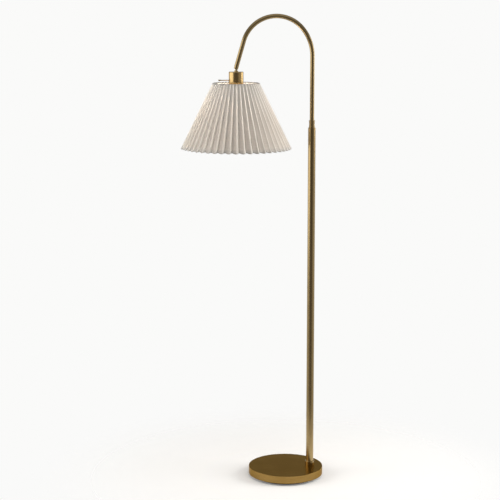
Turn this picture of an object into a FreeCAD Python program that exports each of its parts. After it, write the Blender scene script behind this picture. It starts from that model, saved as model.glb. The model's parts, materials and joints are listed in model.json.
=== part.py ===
import FreeCAD, Part
import math
import os

# Arc floor lamp: a round weighted base, a two-section pole with a sliding, turning
# arm that bends over in an arc, and a ball-jointed head with a pleated shade.
# Millimetres.  +Z is up, the origin is on the floor under the middle of the base,
# the pole stands on the +X side and the arm reaches towards -X.

Vector = FreeCAD.Vector
UP = Vector(0, 0, 1)
CIRCLE = "Part::GeomCircle"

# ---- fits ----------------------------------------------------------------
RUNNING = 0.05  # radial gap where one piece turns or slides in another
CLEARANCE = 0.3  # gap between pieces that pass without touching
TOUCHING = 0.01  # gap between round pieces that lie against each other
OVER = 1.0  # how far a cutting shape reaches past the face that it cuts

# ---- base ----------------------------------------------------------------
BASE_RADIUS = 127.0
BASE_TOP = 35.0  # floor to the cover's flat top
RIM_GAP = 9.0  # floor to the cover's lower edge
COVER_WALL = 1.5
COVER_EDGE = 1.6  # rounding of the cover's upper edge
PAD_INSET = 20.0  # from the cover's outer face to the pad's edge
PAD_THICKNESS = 3.0
PAD_MARGIN = 1.0  # how far the weight's foot reaches past the pad
FOOT_STEP = 3.0  # how far the weight's wide part sits above the cover's edge
WEIGHT_GAP = 1.0  # between the weight and what goes past it
RECESS_GAP = 2.0  # from the washer to the wall of the pocket under the weight
RECESS_SPARE = 1.9  # from the stud's end to the pad
CORD_BORE = 3.6  # bore of the grommet, for the mains lead
GROMMET_WALL = 1.4
GROMMET_LEDGE = 2.0
GROMMET_LIP = 1.5
GROMMET_ANGLE = 35.0  # from +X towards +Y
GROMMET_RISE = 9.5  # from the cover's lower edge to the grommet's axis
LEAD_BEND = 3.0  # room for the lead to turn behind the grommet

# ---- stud that ties the pole to the base ---------------------------------
STUD_RADIUS = 5.0
STUD_WALL = 1.5
STUD_GRIP = 25.0  # length screwed into the pole's bottom plug
STUD_TAIL = 1.5  # length that shows past the nut
NUT_FLATS = 17.0
NUT_HEIGHT = 5.0
WASHER_RADIUS = 12.0
WASHER_THICKNESS = 1.6

# ---- pole ----------------------------------------------------------------
POLE_INSET = 43.0  # from the base's edge to the pole's axis
POLE_RADIUS = 12.7
POLE_WALL = 1.2
POLE_TOP = 1200.9
POLE_JOINT = 430.0  # height of the seam between the two sections
SEAM_CHAMFER = 0.35
FOOT_RING_WALL = 2.9
FOOT_RING_HEIGHT = 14.0
FOOT_RING_LEDGE = 1.5
FOOT_RING_EDGE = 1.2
PLUG_SPARE = 5.0  # how far the bottom plug reaches past the stud
COUPLING_HALF = 30.0
COUPLING_WALL = 2.0

# ---- clamp at the pole's top ---------------------------------------------
INSERT_LENGTH = 51.0
GUIDE_LENGTH = 12.0  # plain bore at the insert's lower end
SEAT_LENGTH = 6.0  # cone that the collet is pressed into
COLLET_LENGTH = 17.0
COLLET_NOSE = 0.5  # wall of the collet's thin end
COLLET_SLIT = 1.2
COLLAR_LEDGE = 0.8  # how far the collar's rim reaches past its thread
COLLAR_DIP = 0.8  # how far the waist is drawn in from the rim
COLLAR_HEIGHT = 24.4
COLLAR_RIM_HEIGHT = 2.6
COLLAR_EDGE = 0.5
COLLAR_GAP = 0.3

# ---- arm -----------------------------------------------------------------
ARM_RADIUS = 7.5
ARM_WALL = 1.2
ARM_INSIDE = 200.9  # length of the arm tube inside the pole
ARM_UPRIGHT = 237.1  # from the pole's top to the first bend
SHOULDER_BEND = 141.0
SHOULDER_TURN = 40.6
CROWN_BEND = 113.0
CROWN_TURN = 123.2
DROP_RUN = 90.3  # straight run from the crown's end to the ball's centre
BUSH_LENGTH = 26.0
RING_INSET = 0.5  # from the arm tube's end to the retaining ring
RING_HEIGHT = 3.2
STOP_HEIGHT = 6.0
BAND_GAP = 1.0  # from the rings on the arm tube to the pole's bore

# ---- ball swivel (distances along the leaning end of the arm) ------------
HOUSING_BELOW = 4.5  # ball's centre to the housing's mouth
HOUSING_ABOVE = 20.0
MOUTH_LIP = 0.6  # how far the mouth's lip reaches in under the ball
MOUTH_LAND = 0.2  # height of the lip's straight part
MOUTH_FLARE = 0.9
SLOT_REACH = 5.0  # ball's centre to the top of the slot
NECK_RADIUS = 3.5
NECK_WALL = 1.3
LEAD_ROOM = 1.0  # how much wider than the neck the pieces behind the ball are bored
SEAT_FOOT = 2.0
SEAT_WALL = 1.7  # seat behind the ball
SPRING_DISC = 0.6
PLUG_GRIP = 7.0  # length of the threaded nipple in the housing
NIPPLE_LENGTH = 17.0
NIPPLE_WALL = 2.4

# ---- head ----------------------------------------------------------------
CUP_DROP = 13.0  # ball's centre to the cup's flat top
CUP_RADIUS = 24.5
CUP_HEIGHT = 48.0
CUP_WALL = 1.0
CUP_EDGE = 2.0
DOME_RADIUS = 7.0
DOME_HEIGHT = 4.0
DOME_LIP = 1.0  # flat ring round the neck at the dome's top
DOME_BULGE = 0.7
SPIN_WASHER = 1.0
SPIN_WASHER_LEDGE = 4.5
NECK_NUT_FLATS = 12.0
NECK_NUT_HEIGHT = 5.0
NECK_TAIL = 1.5
CARRIER_DROP = 10.5  # cup's top to the carrier's upper face
CARRIER_THICKNESS = 1.5
CARRIER_GAP = 2.0  # from the neck nut to the hole in the carrier
SCREW_RADIUS = 1.5
SCREW_HEAD = 2.8
SCREW_HEAD_HEIGHT = 1.8
SCREW_HEAD_TAPER = 0.7
SCREW_SLOT = 0.8
SCREW_FLOOR = 1.0  # what is left of the socket's roof under a screw
SCREW_CIRCLE = 14.5
CARRIER_SCREWS = (90, 270)  # degrees from +X towards +Y
TERMINAL_SCREWS = (-35, 35)
SOCKET_STEP = 1.5  # from the socket's skirt out to its body
SKIRT_WALL = 3.3
SHELL_WALL = 0.5
SHELL_GAP = 0.6
SHELL_INSET = 2.0  # from the cap's lower edge up to the shell's
SHOULDER_DROP = 1.8  # from the cup's lower edge to the socket's shoulder
SOCKET_ROOF = 5.0
SKIRT_LENGTH = 9.2
STRIP_THICKNESS = 0.5  # centre contact, a bent strip
STRIP_WIDTH = 5.0
STRIP_BENDS = (-8.0, -5.0, -2.0, 4.0)  # riveted end, two bends and tongue's end, from the head's axis
STRIP_SKEW = 0.4

# ---- rotary switch -------------------------------------------------------
SWITCH_DROP = 28.0  # cup's top to the stem's axis
SWITCH_WIDTH = 13.0
SWITCH_HEIGHT = 16.0
SWITCH_WALL = 1.2  # what is left of the socket behind the switch
SWITCH_GAP = 0.18  # from the switch's corners to the cup
SWITCH_BACK = 1.5  # wall behind the stem's end
STEM_RADIUS = 1.5
STEM_REACH = 52.0  # head's axis to the end of the bare stem
TIP_RADIUS = 2.4
TIP_LENGTH = 7.0
TIP_EDGE = 0.8

# ---- bulb ----------------------------------------------------------------
CAP_RADIUS = 13.1
CAP_LENGTH = 23.0
CAP_WALL = 0.4
BULB_RADIUS = 30.0
BULB_LENGTH = 73.0  # from where the glass starts to widen to its tip
BULB_NECK_GAP = 0.2  # from the socket's mouth to where the glass widens
GLASS_WALL = 1.0
GLASS_IN_CAP = 9.0
CONTACT_RADIUS = 4.5
CONTACT_HEIGHT = 0.8
CONTACT_PRESS = 2.2  # from the cavity's top to the bulb's contact
INSULATOR_HEIGHT = 2.2
INSULATOR_LEDGE = 0.5  # round the contact
INSULATOR_INSET = 2.0  # from the cap's edge
FILAMENT_COUNT = 4
FILAMENT_RADIUS = 0.9
FILAMENT_LENGTH = 30.0
FILAMENT_LEAN = 19.0  # degrees from upright
FILAMENT_FIRST = 45.0
FILAMENT_DROP = 8.0  # from where the glass widens to the filaments' upper ends
BULB_STEM_RADIUS = 2.5
BULB_STEM_SEAL = 1.5

# ---- shade ---------------------------------------------------------------
SHADE_RISE = 12.8  # from the socket's shoulder to the shade's upper edge
SHADE_HEIGHT = 217.5
SHADE_TOP_RADIUS = 76.0
SHADE_BOTTOM_RADIUS = 184.5
PLEAT_TOP = 4.0  # depth of the pleats at the upper edge
PLEAT_BOTTOM = 8.0
CLOTH_WALL = 1.5  # the cloth of the pleats, flattened into one even wall
HEM_BAND = 8.0  # height of the bands that are as deep as the pleats, round the wire rings
WIRE_RADIUS = 1.5
HEM = 4.0  # from the shade's edge to the wire ring inside it
SPOKE_COUNT = 3
SPOKE_FIRST = 90.0  # degrees from +X towards +Y
SPOKE_RADIUS = 1.3
SPOKE_BEND = 6.0
FITTER_LEDGE = 1.0  # how far the fitter reaches past the ring nut
FITTER_THICKNESS = 1.4
RING_NUT_WALL = 4.0
RING_NUT_HEIGHT = 6.5
RING_NUT_RIM = 2.0  # height of the wide rim
RING_NUT_STEP = 1.5
NOTCH_COUNT = 18
NOTCH_RADIUS = 1.0

# ---- places that follow from the sizes above -----------------------------
POLE_X = BASE_RADIUS - POLE_INSET
PAD_RADIUS = BASE_RADIUS - PAD_INSET
GROMMET_RADIUS = CORD_BORE + GROMMET_WALL
GROMMET_FLANGE = GROMMET_RADIUS + GROMMET_LEDGE
GROMMET_HEIGHT = RIM_GAP + GROMMET_RISE
POLE_BORE = POLE_RADIUS - POLE_WALL
ARM_BORE = ARM_RADIUS - ARM_WALL
BALL_RADIUS = ARM_BORE - RUNNING
WEIGHT_TOP = BASE_TOP - COVER_WALL
STUD_FOOT = PAD_THICKNESS + RECESS_SPARE
NUT_FOOT = STUD_FOOT + STUD_TAIL
NUT_TOP = NUT_FOOT + NUT_HEIGHT
RECESS_TOP = NUT_TOP + WASHER_THICKNESS
FOOT_RING_RADIUS = POLE_RADIUS + FOOT_RING_WALL
TUBE_FOOT = BASE_TOP + FOOT_RING_LEDGE
INSERT_FOOT = POLE_TOP - INSERT_LENGTH
CONE_FOOT = INSERT_FOOT + GUIDE_LENGTH
CONE_TOP = CONE_FOOT + SEAT_LENGTH
THREAD_RADIUS = (ARM_RADIUS + POLE_BORE) / 2
SEAT_SLOPE = SEAT_LENGTH / (THREAD_RADIUS - ARM_RADIUS - RUNNING)  # rise of the cone for its widening
COLLET_FOOT = CONE_FOOT + SEAT_SLOPE * COLLET_NOSE + CLEARANCE
COLLET_TOP = COLLET_FOOT + COLLET_LENGTH
COLLAR_RIM = THREAD_RADIUS + COLLAR_LEDGE
COLLAR_FOOT = POLE_TOP + COLLAR_GAP
BEND_START = POLE_TOP + ARM_UPRIGHT
ARM_FOOT = POLE_TOP - ARM_INSIDE
RING_FOOT = ARM_FOOT + RING_INSET
BUSH_FOOT = RING_FOOT + RING_HEIGHT + CLEARANCE
STOP_FOOT = BUSH_FOOT + BUSH_LENGTH + CLEARANCE
NECK_BORE = NECK_RADIUS - NECK_WALL
SEAT_BORE = NECK_BORE + LEAD_ROOM
SEAT_TOP = ARM_BORE + SEAT_WALL


def point_on_circle(centre, radius, degrees):
    """A point of the XZ plane on a circle, counted from +X towards +Z."""
    angle = math.radians(degrees)
    return centre + Vector(radius * math.cos(angle), 0, radius * math.sin(angle))


BEND_FOOT = Vector(POLE_X, 0, BEND_START)
SHOULDER_CENTRE = BEND_FOOT - Vector(SHOULDER_BEND, 0, 0)
CROWN_FOOT = point_on_circle(SHOULDER_CENTRE, SHOULDER_BEND, SHOULDER_TURN)
CROWN_CENTRE = point_on_circle(CROWN_FOOT, -CROWN_BEND, SHOULDER_TURN)
LAST_TURN = SHOULDER_TURN + CROWN_TURN
CROWN_END = point_on_circle(CROWN_CENTRE, CROWN_BEND, LAST_TURN)
DROP_DIRECTION = point_on_circle(Vector(), 1.0, LAST_TURN + 90)
BALL = CROWN_END + DROP_DIRECTION * DROP_RUN
LEAN = 180 - LAST_TURN  # how far the arm's end leans from upright, degrees

HEAD_X = BALL.x
CUP_TOP = BALL.z - CUP_DROP
CUP_FOOT = CUP_TOP - CUP_HEIGHT
CUP_BORE = CUP_RADIUS - CUP_WALL
WASHER_TOP = CUP_TOP - CUP_WALL - RUNNING
NECK_NUT_TOP = WASHER_TOP - SPIN_WASHER
NECK_END = NECK_NUT_TOP - NECK_NUT_HEIGHT - NECK_TAIL
CARRIER_TOP = CUP_TOP - CARRIER_DROP
SOCKET_TOP = CARRIER_TOP - CARRIER_THICKNESS
SHOULDER_Z = CUP_FOOT - SHOULDER_DROP
SOCKET_FOOT = SHOULDER_Z - SKIRT_LENGTH
CAVITY_TOP = SOCKET_TOP - SOCKET_ROOF
SHELL_RADIUS = CAP_RADIUS + SHELL_GAP + SHELL_WALL
SKIRT_RADIUS = SHELL_RADIUS + SKIRT_WALL
SOCKET_RADIUS = SKIRT_RADIUS + SOCKET_STEP
SWITCH_INNER = SHELL_RADIUS + SWITCH_WALL
SWITCH_OUTER = math.sqrt((CUP_BORE - SWITCH_GAP) ** 2 - (SWITCH_WIDTH / 2) ** 2)
RING_NUT_RADIUS = SKIRT_RADIUS + RING_NUT_WALL
FITTER_RADIUS = RING_NUT_RADIUS + FITTER_LEDGE
STEM_Z = CUP_TOP - SWITCH_DROP
FITTER_FOOT = SHOULDER_Z - FITTER_THICKNESS
CONTACT_TOP = CAVITY_TOP - CONTACT_PRESS
INSULATOR_TOP = CONTACT_TOP - CONTACT_HEIGHT
CAP_TOP = INSULATOR_TOP - INSULATOR_HEIGHT
CAP_FOOT = CAP_TOP - CAP_LENGTH
GLASS_TOP = CAP_FOOT + GLASS_IN_CAP
NECK_LEVEL = SOCKET_FOOT - BULB_NECK_GAP
BULB_FOOT = NECK_LEVEL - BULB_LENGTH
BULB_CENTRE = BULB_FOOT + BULB_RADIUS
GLASS_NECK = CAP_RADIUS - CAP_WALL
SHADE_TOP = SHOULDER_Z + SHADE_RISE
SHADE_FOOT = SHADE_TOP - SHADE_HEIGHT


# ---- shapes used more than once ------------------------------------------
def rod(radius, foot, top, x=0.0, y=0.0):
    """Upright cylinder between two heights."""
    return Part.makeCylinder(radius, top - foot, Vector(x, y, foot))


def sleeve(outer, inner, foot, top, x=0.0):
    """Upright tube between two heights."""
    return rod(outer, foot, top, x).cut(rod(inner, foot, top, x))


def cone(foot_radius, top_radius, foot, top, x=0.0):
    return Part.makeCone(foot_radius, top_radius, top - foot, Vector(x, 0, foot))


def block(x_range, y_range, z_range):
    """Box between three pairs of limits."""
    low = Vector(x_range[0], y_range[0], z_range[0])
    size = Vector(x_range[1], y_range[1], z_range[1]) - low
    return Part.makeBox(size.x, size.y, size.z, low)


def turned(points, x=0.0):
    """Solid of revolution about the upright axis at x; points are (radius, height)."""
    corners = [Vector(x + radius, 0, height) for radius, height in points]
    face = Part.Face(Part.makePolygon(corners + corners[:1]))
    return face.revolve(Vector(x, 0, 0), UP, 360)


def turned_edges(edges, x=0.0):
    """Solid of revolution of a closed run of edges drawn about the Z axis."""
    face = Part.Face(Part.Wire(edges))
    solid = face.revolve(Vector(), UP, 360)
    solid.translate(Vector(x, 0, 0))
    return solid


def hexagon(flats, foot, top, x=0.0):
    """Hexagonal prism with its corners chamfered by two cones."""
    corner = flats / math.sqrt(3)
    points = [point_on_circle(Vector(), corner, 60 * i) for i in range(6)]
    flat = [Vector(x + p.x, p.z, foot) for p in points]
    prism = Part.Face(Part.makePolygon(flat + flat[:1])).extrude(UP * (top - foot))
    bevel = (corner - flats / 2) * math.tan(math.radians(30))
    middle = turned(
        [
            (0, foot),
            (flats / 2, foot),
            (corner, foot + bevel),
            (corner, top - bevel),
            (flats / 2, top),
            (0, top),
        ],
        x,
    )
    return prism.common(middle)


def top_circles(shape):
    """The round edges in a shape's top face."""
    top = shape.BoundBox.ZMax
    return [e for e in shape.Edges if e.Curve.TypeId == CIRCLE and abs(e.CenterOfMass.z - top) < TOUCHING]


def wire_ring(radius, height, thickness, x=0.0):
    """Round wire bent into a level ring."""
    return Part.makeTorus(radius, thickness, Vector(x, 0, height), UP)


def around(shape, count, x, first=0.0):
    """Copies of a shape, evenly spaced about the upright axis at x."""
    copies = []
    for i in range(count):
        copy = shape.copy()
        copy.rotate(Vector(x, 0, 0), UP, first + 360 * i / count)
        copies.append(copy)
    return copies


# ---- base ----------------------------------------------------------------
def radial(shape):
    """Turns a shape drawn along +X to the grommet's side of the base."""
    shape.rotate(Vector(), UP, GROMMET_ANGLE)
    return shape


def cord_axis_rod(radius, start, end):
    """Cylinder along +X at the grommet's height, between two distances from the middle."""
    return Part.makeCylinder(radius, end - start, Vector(start, 0, GROMMET_HEIGHT), Vector(1, 0, 0))


def base_cover():
    shell = rod(BASE_RADIUS, RIM_GAP, BASE_TOP)
    shell = shell.makeFillet(COVER_EDGE, top_circles(shell))
    shell = shell.cut(rod(BASE_RADIUS - COVER_WALL, RIM_GAP, WEIGHT_TOP))
    shell = shell.cut(rod(STUD_RADIUS + CLEARANCE, WEIGHT_TOP, BASE_TOP, POLE_X))
    outlet = cord_axis_rod(GROMMET_RADIUS, BASE_RADIUS - COVER_WALL - OVER, BASE_RADIUS + OVER)
    return shell.cut(radial(outlet))


def base_weight():
    step = RIM_GAP + FOOT_STEP
    body = rod(PAD_RADIUS + PAD_MARGIN, PAD_THICKNESS, step)
    body = body.fuse(rod(BASE_RADIUS - COVER_WALL - WEIGHT_GAP, step, WEIGHT_TOP)).removeSplitter()
    body = body.cut(rod(STUD_RADIUS + CLEARANCE, PAD_THICKNESS, WEIGHT_TOP, POLE_X))
    body = body.cut(rod(WASHER_RADIUS + RECESS_GAP, PAD_THICKNESS, RECESS_TOP, POLE_X))
    return body.cut(lead_channel())


def lead_channel():
    """Groove under the weight for the mains lead, from the nut's pocket to the grommet."""
    half = GROMMET_FLANGE + WEIGHT_GAP
    angle = math.radians(GROMMET_ANGLE)
    mouth = Vector(BASE_RADIUS * math.cos(angle), BASE_RADIUS * math.sin(angle), 0)
    run = mouth - Vector(POLE_X, 0, 0)
    groove = block((0, run.Length), (-half, half), (PAD_THICKNESS, GROMMET_HEIGHT + half))
    groove.rotate(Vector(), UP, math.degrees(math.atan2(run.y, run.x)))
    groove.translate(Vector(POLE_X, 0, 0))
    inside = rod(BASE_RADIUS - COVER_WALL, PAD_THICKNESS, WEIGHT_TOP)
    pocket = radial(
        block(
            (BASE_RADIUS - COVER_WALL - GROMMET_LIP - LEAD_BEND, BASE_RADIUS),
            (-half, half),
            (PAD_THICKNESS, GROMMET_HEIGHT + half),
        )
    )
    return groove.fuse(pocket).common(inside)


def base_pad():
    return rod(PAD_RADIUS, 0, PAD_THICKNESS)


def cord_grommet():
    inner_face = math.sqrt((BASE_RADIUS - COVER_WALL) ** 2 - GROMMET_FLANGE**2)
    body = cord_axis_rod(GROMMET_RADIUS, inner_face, BASE_RADIUS)
    body = body.fuse(cord_axis_rod(GROMMET_FLANGE, inner_face - GROMMET_LIP, inner_face))
    body = body.fuse(cord_axis_rod(GROMMET_FLANGE, BASE_RADIUS, BASE_RADIUS + GROMMET_LIP))
    body = body.cut(cord_axis_rod(CORD_BORE, inner_face - GROMMET_LIP, BASE_RADIUS + GROMMET_LIP))
    return radial(body)


def pole_stud():
    return sleeve(STUD_RADIUS, STUD_RADIUS - STUD_WALL, STUD_FOOT, TUBE_FOOT + STUD_GRIP, POLE_X)


def stud_washer():
    return sleeve(WASHER_RADIUS, STUD_RADIUS + CLEARANCE, NUT_TOP, RECESS_TOP, POLE_X)


def stud_nut():
    nut = hexagon(NUT_FLATS, NUT_FOOT, NUT_TOP, POLE_X)
    return nut.cut(rod(STUD_RADIUS, NUT_FOOT, NUT_TOP, POLE_X))


# ---- pole ----------------------------------------------------------------
def pole_foot_ring():
    top = BASE_TOP + FOOT_RING_HEIGHT
    return turned(
        [
            (STUD_RADIUS + CLEARANCE, BASE_TOP),
            (FOOT_RING_RADIUS, BASE_TOP),
            (FOOT_RING_RADIUS, top - FOOT_RING_EDGE),
            (FOOT_RING_RADIUS - FOOT_RING_EDGE, top),
            (POLE_RADIUS, top),
            (POLE_RADIUS, TUBE_FOOT),
            (STUD_RADIUS + CLEARANCE, TUBE_FOOT),
        ],
        POLE_X,
    )


def pole_bottom_plug():
    return sleeve(POLE_BORE, STUD_RADIUS, TUBE_FOOT, TUBE_FOOT + STUD_GRIP + PLUG_SPARE, POLE_X)


def seam_edge(foot, top):
    """A ring that cuts a chamfer off the pole's outer edge, from nothing at foot to all of it at top."""
    wide = POLE_RADIUS + OVER
    points = [(POLE_RADIUS, foot), (wide, foot), (wide, top), (POLE_RADIUS - SEAM_CHAMFER, top)]
    return turned(points, POLE_X)


def lower_pole():
    tube = sleeve(POLE_RADIUS, POLE_BORE, TUBE_FOOT, POLE_JOINT, POLE_X)
    return tube.cut(seam_edge(POLE_JOINT - SEAM_CHAMFER, POLE_JOINT))


def pole_coupling():
    foot = POLE_JOINT - COUPLING_HALF
    return sleeve(POLE_BORE, POLE_BORE - COUPLING_WALL, foot, POLE_JOINT + COUPLING_HALF, POLE_X)


def upper_pole():
    tube = sleeve(POLE_RADIUS, POLE_BORE, POLE_JOINT, POLE_TOP, POLE_X)
    tube = tube.cut(seam_edge(POLE_JOINT + SEAM_CHAMFER, POLE_JOINT))
    return tube.cut(seam_edge(POLE_TOP - SEAM_CHAMFER, POLE_TOP))


# ---- clamp ---------------------------------------------------------------
def pole_top_insert():
    body = sleeve(POLE_BORE, ARM_RADIUS + RUNNING, INSERT_FOOT, POLE_TOP, POLE_X)
    body = body.cut(cone(ARM_RADIUS + RUNNING, THREAD_RADIUS, CONE_FOOT, CONE_TOP, POLE_X))
    return body.cut(rod(THREAD_RADIUS, CONE_TOP, POLE_TOP, POLE_X))


def collet():
    bore = ARM_RADIUS + RUNNING
    outer = THREAD_RADIUS - CLEARANCE
    nose = bore + COLLET_NOSE
    shoulder = COLLET_FOOT + SEAT_SLOPE * (outer - nose)
    body = turned(
        [
            (bore, COLLET_FOOT),
            (nose, COLLET_FOOT),
            (outer, shoulder),
            (outer, COLLET_TOP),
            (bore, COLLET_TOP),
        ],
        POLE_X,
    )
    slit = block(
        (POLE_X, POLE_X + POLE_RADIUS),
        (-COLLET_SLIT / 2, COLLET_SLIT / 2),
        (COLLET_FOOT, COLLET_TOP),
    )
    return body.cut(slit)


def lock_collar():
    spigot_foot = COLLET_TOP + RUNNING
    spigot = THREAD_RADIUS - RUNNING
    bore = ARM_RADIUS + RUNNING
    top = COLLAR_FOOT + COLLAR_HEIGHT
    corners = [
        (bore, spigot_foot),
        (spigot, spigot_foot),
        (spigot, COLLAR_FOOT),
        (COLLAR_RIM - COLLAR_EDGE, COLLAR_FOOT),
        (COLLAR_RIM, COLLAR_FOOT + COLLAR_EDGE),
        (COLLAR_RIM, COLLAR_FOOT + COLLAR_RIM_HEIGHT),
    ]
    waist = Vector(COLLAR_RIM - COLLAR_DIP, 0, COLLAR_FOOT + COLLAR_HEIGHT / 2)
    over = [
        (COLLAR_RIM, top - COLLAR_RIM_HEIGHT),
        (COLLAR_RIM, top - COLLAR_EDGE),
        (COLLAR_RIM - COLLAR_EDGE, top),
        (bore, top),
    ]
    lower = [Vector(r, 0, z) for r, z in corners]
    upper = [Vector(r, 0, z) for r, z in over]
    edges = list(Part.makePolygon(lower).Edges)
    edges.append(Part.Arc(lower[-1], waist, upper[0]).toShape())
    edges += Part.makePolygon(upper).Edges
    edges.append(Part.makeLine(upper[-1], lower[0]))
    return turned_edges(edges, POLE_X)


# ---- arm -----------------------------------------------------------------
def arm_route(end_before_ball):
    """The arm's centre line: upright, two tangent bends, then the leaning run."""
    foot = Vector(POLE_X, 0, ARM_FOOT)
    shoulder_middle = point_on_circle(SHOULDER_CENTRE, SHOULDER_BEND, SHOULDER_TURN / 2)
    crown_middle = point_on_circle(CROWN_CENTRE, CROWN_BEND, SHOULDER_TURN + CROWN_TURN / 2)
    end = BALL - DROP_DIRECTION * end_before_ball
    return Part.Wire(
        [
            Part.LineSegment(foot, BEND_FOOT).toShape(),
            Part.Arc(BEND_FOOT, shoulder_middle, CROWN_FOOT).toShape(),
            Part.Arc(CROWN_FOOT, crown_middle, CROWN_END).toShape(),
            Part.LineSegment(CROWN_END, end).toShape(),
        ]
    )


def along(route, radius):
    """Round bar that follows a route which starts straight."""
    start = route.Edges[0].Vertexes[0].Point
    direction = route.Edges[0].tangentAt(0)
    section = Part.Wire(Part.makeCircle(radius, start, direction))
    return route.makePipeShell([section], True, False)


def arm_tube():
    route = arm_route(HOUSING_ABOVE)
    return along(route, ARM_RADIUS).cut(along(route, ARM_BORE))


def glide_bush():
    return sleeve(POLE_BORE - RUNNING, ARM_RADIUS + RUNNING, BUSH_FOOT, BUSH_FOOT + BUSH_LENGTH, POLE_X)


def retaining_ring():
    return sleeve(POLE_BORE - BAND_GAP, ARM_RADIUS, RING_FOOT, RING_FOOT + RING_HEIGHT, POLE_X)


def stop_ring():
    return sleeve(POLE_BORE - BAND_GAP, ARM_RADIUS, STOP_FOOT, STOP_FOOT + STOP_HEIGHT, POLE_X)


# ---- ball swivel ---------------------------------------------------------
def leaning(shape):
    """Moves a shape drawn about the Z axis at the origin to the arm's leaning end."""
    shape.rotate(Vector(), Vector(0, 1, 0), LEAN)
    shape.translate(BALL)
    return shape


def swivel_housing():
    lip = ARM_BORE - MOUTH_LIP
    body = rod(ARM_RADIUS, -HOUSING_BELOW, HOUSING_ABOVE)
    body = body.cut(rod(ARM_BORE, 0, HOUSING_ABOVE))
    body = body.cut(Part.makeSphere(ARM_BORE))
    body = body.cut(rod(lip, -HOUSING_BELOW, 0))
    lip_level = -math.sqrt(ARM_BORE**2 - lip**2) - MOUTH_LAND
    body = body.cut(cone(lip + MOUTH_FLARE, lip, -HOUSING_BELOW, lip_level))
    half = NECK_RADIUS + CLEARANCE
    slot_middle = SLOT_REACH - half
    outside = ARM_RADIUS + OVER
    slot = block((-outside, 0), (-half, half), (-HOUSING_BELOW - OVER, slot_middle))
    end = Part.makeCylinder(half, outside, Vector(-outside, 0, slot_middle), Vector(1, 0, 0))
    return leaning(body.cut(slot.fuse(end)))


def ball_seat():
    body = sleeve(ARM_BORE, SEAT_BORE, SEAT_FOOT, SEAT_TOP)
    return leaning(body.cut(Part.makeSphere(ARM_BORE)))


def seat_spring():
    """Two disc springs set mouth to mouth."""
    height = (HOUSING_ABOVE - PLUG_GRIP - SEAT_TOP) / 2
    rise = height - SPRING_DISC
    outer = ARM_BORE - CLEARANCE
    low = [
        (SEAT_BORE, SEAT_TOP),
        (SEAT_BORE, SEAT_TOP + SPRING_DISC),
        (outer, SEAT_TOP + height),
        (outer, SEAT_TOP + rise),
    ]
    middle = SEAT_TOP + height
    high = [(r, 2 * middle - z) for r, z in low]
    return Part.Compound([leaning(turned(low)), leaning(turned(high))])


def swivel_nipple():
    foot = HOUSING_ABOVE - PLUG_GRIP
    return leaning(sleeve(ARM_BORE, ARM_BORE - NIPPLE_WALL, foot, foot + NIPPLE_LENGTH))


def swivel_ball():
    ball = Part.makeSphere(BALL_RADIUS, BALL)
    neck = rod(NECK_RADIUS, NECK_END, BALL.z, HEAD_X)
    body = ball.fuse(neck)
    return body.cut(rod(NECK_BORE, NECK_END, BALL.z + BALL_RADIUS, HEAD_X))


def spin_washer():
    return sleeve(NECK_RADIUS + SPIN_WASHER_LEDGE, NECK_RADIUS, NECK_NUT_TOP, WASHER_TOP, HEAD_X)


def neck_nut():
    nut = hexagon(NECK_NUT_FLATS, NECK_NUT_TOP - NECK_NUT_HEIGHT, NECK_NUT_TOP, HEAD_X)
    return nut.cut(rod(NECK_RADIUS, NECK_END, NECK_NUT_TOP, HEAD_X))


# ---- head ----------------------------------------------------------------
def neck_dome():
    bore = NECK_RADIUS + RUNNING
    top = CUP_TOP + DOME_HEIGHT
    shoulder = bore + DOME_LIP
    foot = Vector(DOME_RADIUS, 0, CUP_TOP)
    crest = Vector(shoulder, 0, top)
    middle = (foot + crest) / 2 + Vector(DOME_BULGE, 0, DOME_BULGE)
    edges = [
        Part.makeLine(Vector(bore, 0, CUP_TOP), foot),
        Part.Arc(foot, middle, crest).toShape(),
        Part.makeLine(crest, Vector(bore, 0, top)),
        Part.makeLine(Vector(bore, 0, top), Vector(bore, 0, CUP_TOP)),
    ]
    return turned_edges(edges, HEAD_X)


def stem_rod(radius, start, end):
    """Cylinder along the switch's axis, between two distances from the head's axis."""
    origin = Vector(HEAD_X - start, 0, STEM_Z)
    return Part.makeCylinder(radius, end - start, origin, Vector(-1, 0, 0))


def socket_cup():
    body = rod(CUP_RADIUS, CUP_FOOT, CUP_TOP, HEAD_X)
    body = body.makeFillet(CUP_EDGE, top_circles(body))
    inside = rod(CUP_BORE, CUP_FOOT, CUP_TOP - CUP_WALL, HEAD_X)
    body = body.cut(inside.makeFillet(CUP_EDGE - CUP_WALL, top_circles(inside)))
    body = body.cut(rod(NECK_RADIUS + RUNNING, CUP_TOP - CUP_WALL, CUP_TOP, HEAD_X))
    return body.cut(stem_rod(STEM_RADIUS + RUNNING, CUP_BORE - OVER, CUP_RADIUS + OVER))


def on_screw_circle(shape, degrees):
    """Moves a shape drawn at the head's axis out to the screw circle."""
    angle = math.radians(degrees)
    shape.translate(Vector(SCREW_CIRCLE * math.cos(angle), SCREW_CIRCLE * math.sin(angle), 0))
    return shape


def screw(head_foot, grip):
    """Pan-head screw at the head's axis."""
    head_top = head_foot + SCREW_HEAD_HEIGHT
    shank = rod(SCREW_RADIUS, head_foot - grip, head_foot, HEAD_X)
    head = cone(SCREW_HEAD, SCREW_HEAD - SCREW_HEAD_TAPER, head_foot, head_top, HEAD_X)
    slot = block(
        (HEAD_X - SCREW_HEAD, HEAD_X + SCREW_HEAD),
        (-SCREW_SLOT / 2, SCREW_SLOT / 2),
        (head_top - SCREW_HEAD_HEIGHT / 2, head_top),
    )
    return shank.fuse(head).cut(slot)


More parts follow.
